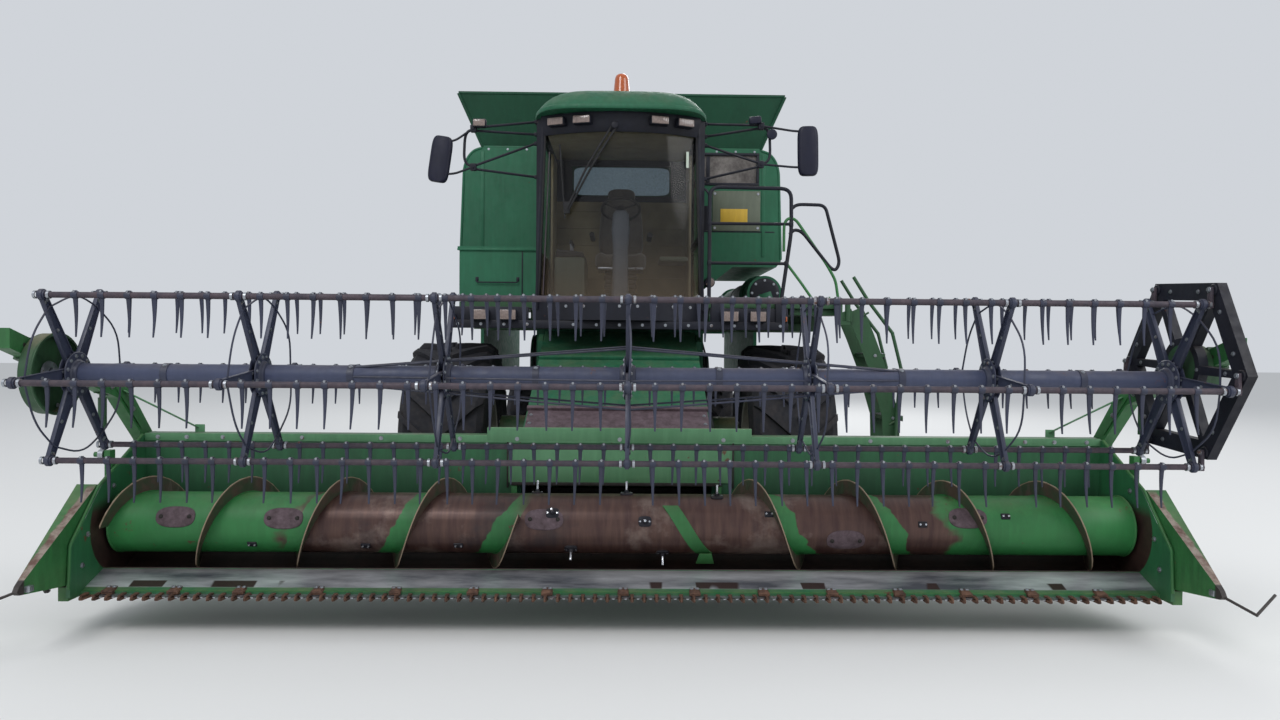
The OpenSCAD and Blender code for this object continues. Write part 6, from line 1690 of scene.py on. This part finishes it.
axle = {"drive": 1.13, "flange": 0.95, "ribs": spread(-0.8, 0.8, 5), "front": -1.066, "rear": -0.814,
        "plate": ((-0.30, -1.072, 0.82), (0.30, -1.055, 0.94))}


def addAxleTrim():
    bm = bmesh.new()
    y, z = wheels["front"]["y"], wheels["front"]["z"]
    for side in (-1, 1):
        way = (side, 0, 0)
        bolts(bm, circle((side * axle["drive"], y, z), 0.185, 12), way, 0.013, 1)
        ring = [(0.205, 0), (0.216, 0), (0.216, 0.02), (0.205, 0.02)]
        lathe(bm, ring, (side * axle["flange"], y, z), way, 48)
        spots = [(side * x, y + dy, 0.981) for x in (0.60, 0.64) for dy in (-0.09, 0.09)]
        bolts(bm, spots, (0, 0, 1), 0.013, 1)
    for x in axle["ribs"]:
        box(bm, (x - 0.012, axle["front"], 0.80), (x + 0.012, axle["rear"], 0.965), 0.003)
    box(bm, *axle["plate"], 0.008)
    finish(bm, "axleTrim", [darkGreen, steel])


tail = {"at": (0, 4.438, 1.29), "tilt": 38, "fins": 9, "reach": 0.62, "fan": 0.35}


# Guide fins under the tailboard, fanned out towards its sides
def addTailTrim():
    bm = bmesh.new()
    place = shift(*tail["at"]) @ turned(tail["tilt"], "X")
    reach = tail["reach"]
    for x in spread(-reach, reach, tail["fins"]):
        lean = shift(x, 0, -0.27) @ Matrix.Rotation(tail["fan"] * (x / reach), 4, "Y")
        box(bm, (-0.004, -0.085, -0.19), (0.004, -0.006, 0.19), 0.001, 0, place @ lean)
    finish(bm, "tailFins", [darkGreen], "tail")


stages = {"cab, rails and platform": (addRoof, addLamps, addMirrors, addRails, addPlatformTrim, addLadderTrim,
                                      addCabTrim, addDoorTrim, addSeat),
          "header and reel": (addBats, addReel, addCamTrim, addCarriageTrim, addArmTrim, addCutterbar,
                              addHeaderTrim, addDividerTrim, addAugerTrim, addFeederTrim),
          "tank, body and wheels": (addTankTrim, addBodyTrim, addHoodTrim, addScreenTrim, addUnloaderTrim,
                                    addShieldTrim, addAxleTrim, addTailTrim, addWheels)}
for label, builders in stages.items():
    for build in builders:
        build()
    print("stage:", label)


def dress(material, *names):
    for name in names:
        mesh = nodes[name].data
        mesh.materials.clear()
        mesh.materials.append(material)


dress(green, "separator_body", "rear_hood", "grain_tank", "engine_hood", "cab_roof",
      "storage_box", "shield_left", "shield_right", "unloading_auger", "feeder_house")
dress(flareGreen, "tank_extension")
dress(headerGreen, "reel_arms")
dress(dividerSheet, "header_dividers")
dress(headerSheet, "header_frame")
dress(augerSheet, "cross_auger")
dress(darkGreen, "chassis_frame", "front_axle", "rear_axle", "chopper_housing", "unloader_turret", "platform",
      "tailboard", "ladder", "lift_barrels", "reel_barrels", "reel_carriage")
dress(black, "cab_frame", "cab_door", "handrails", "mirrors", "rotary_screen", "cam_ring", "knuckle_left",
      "knuckle_right", "lamps")
dress(cabGlass, "cab_glass", "door_glass")
dress(cabPlastic, "cab_interior")
dress(ironDark, "engine")
dress(reelBlue, "reel_core")
dress(batRust, *(f"bat_{i + 1}" for i in range(6)))
dress(guardRust, "cutterbar")
dress(steel, "knife", "tie_rod", "lift_rods", "reel_rods")
for corner in ("front_left", "front_right", "rear_left", "rear_right"):
    dress(tyreRubber, corner + "_tyre")
    dress(rimGrey, corner + "_rim")
print("stage: materials on the frame")
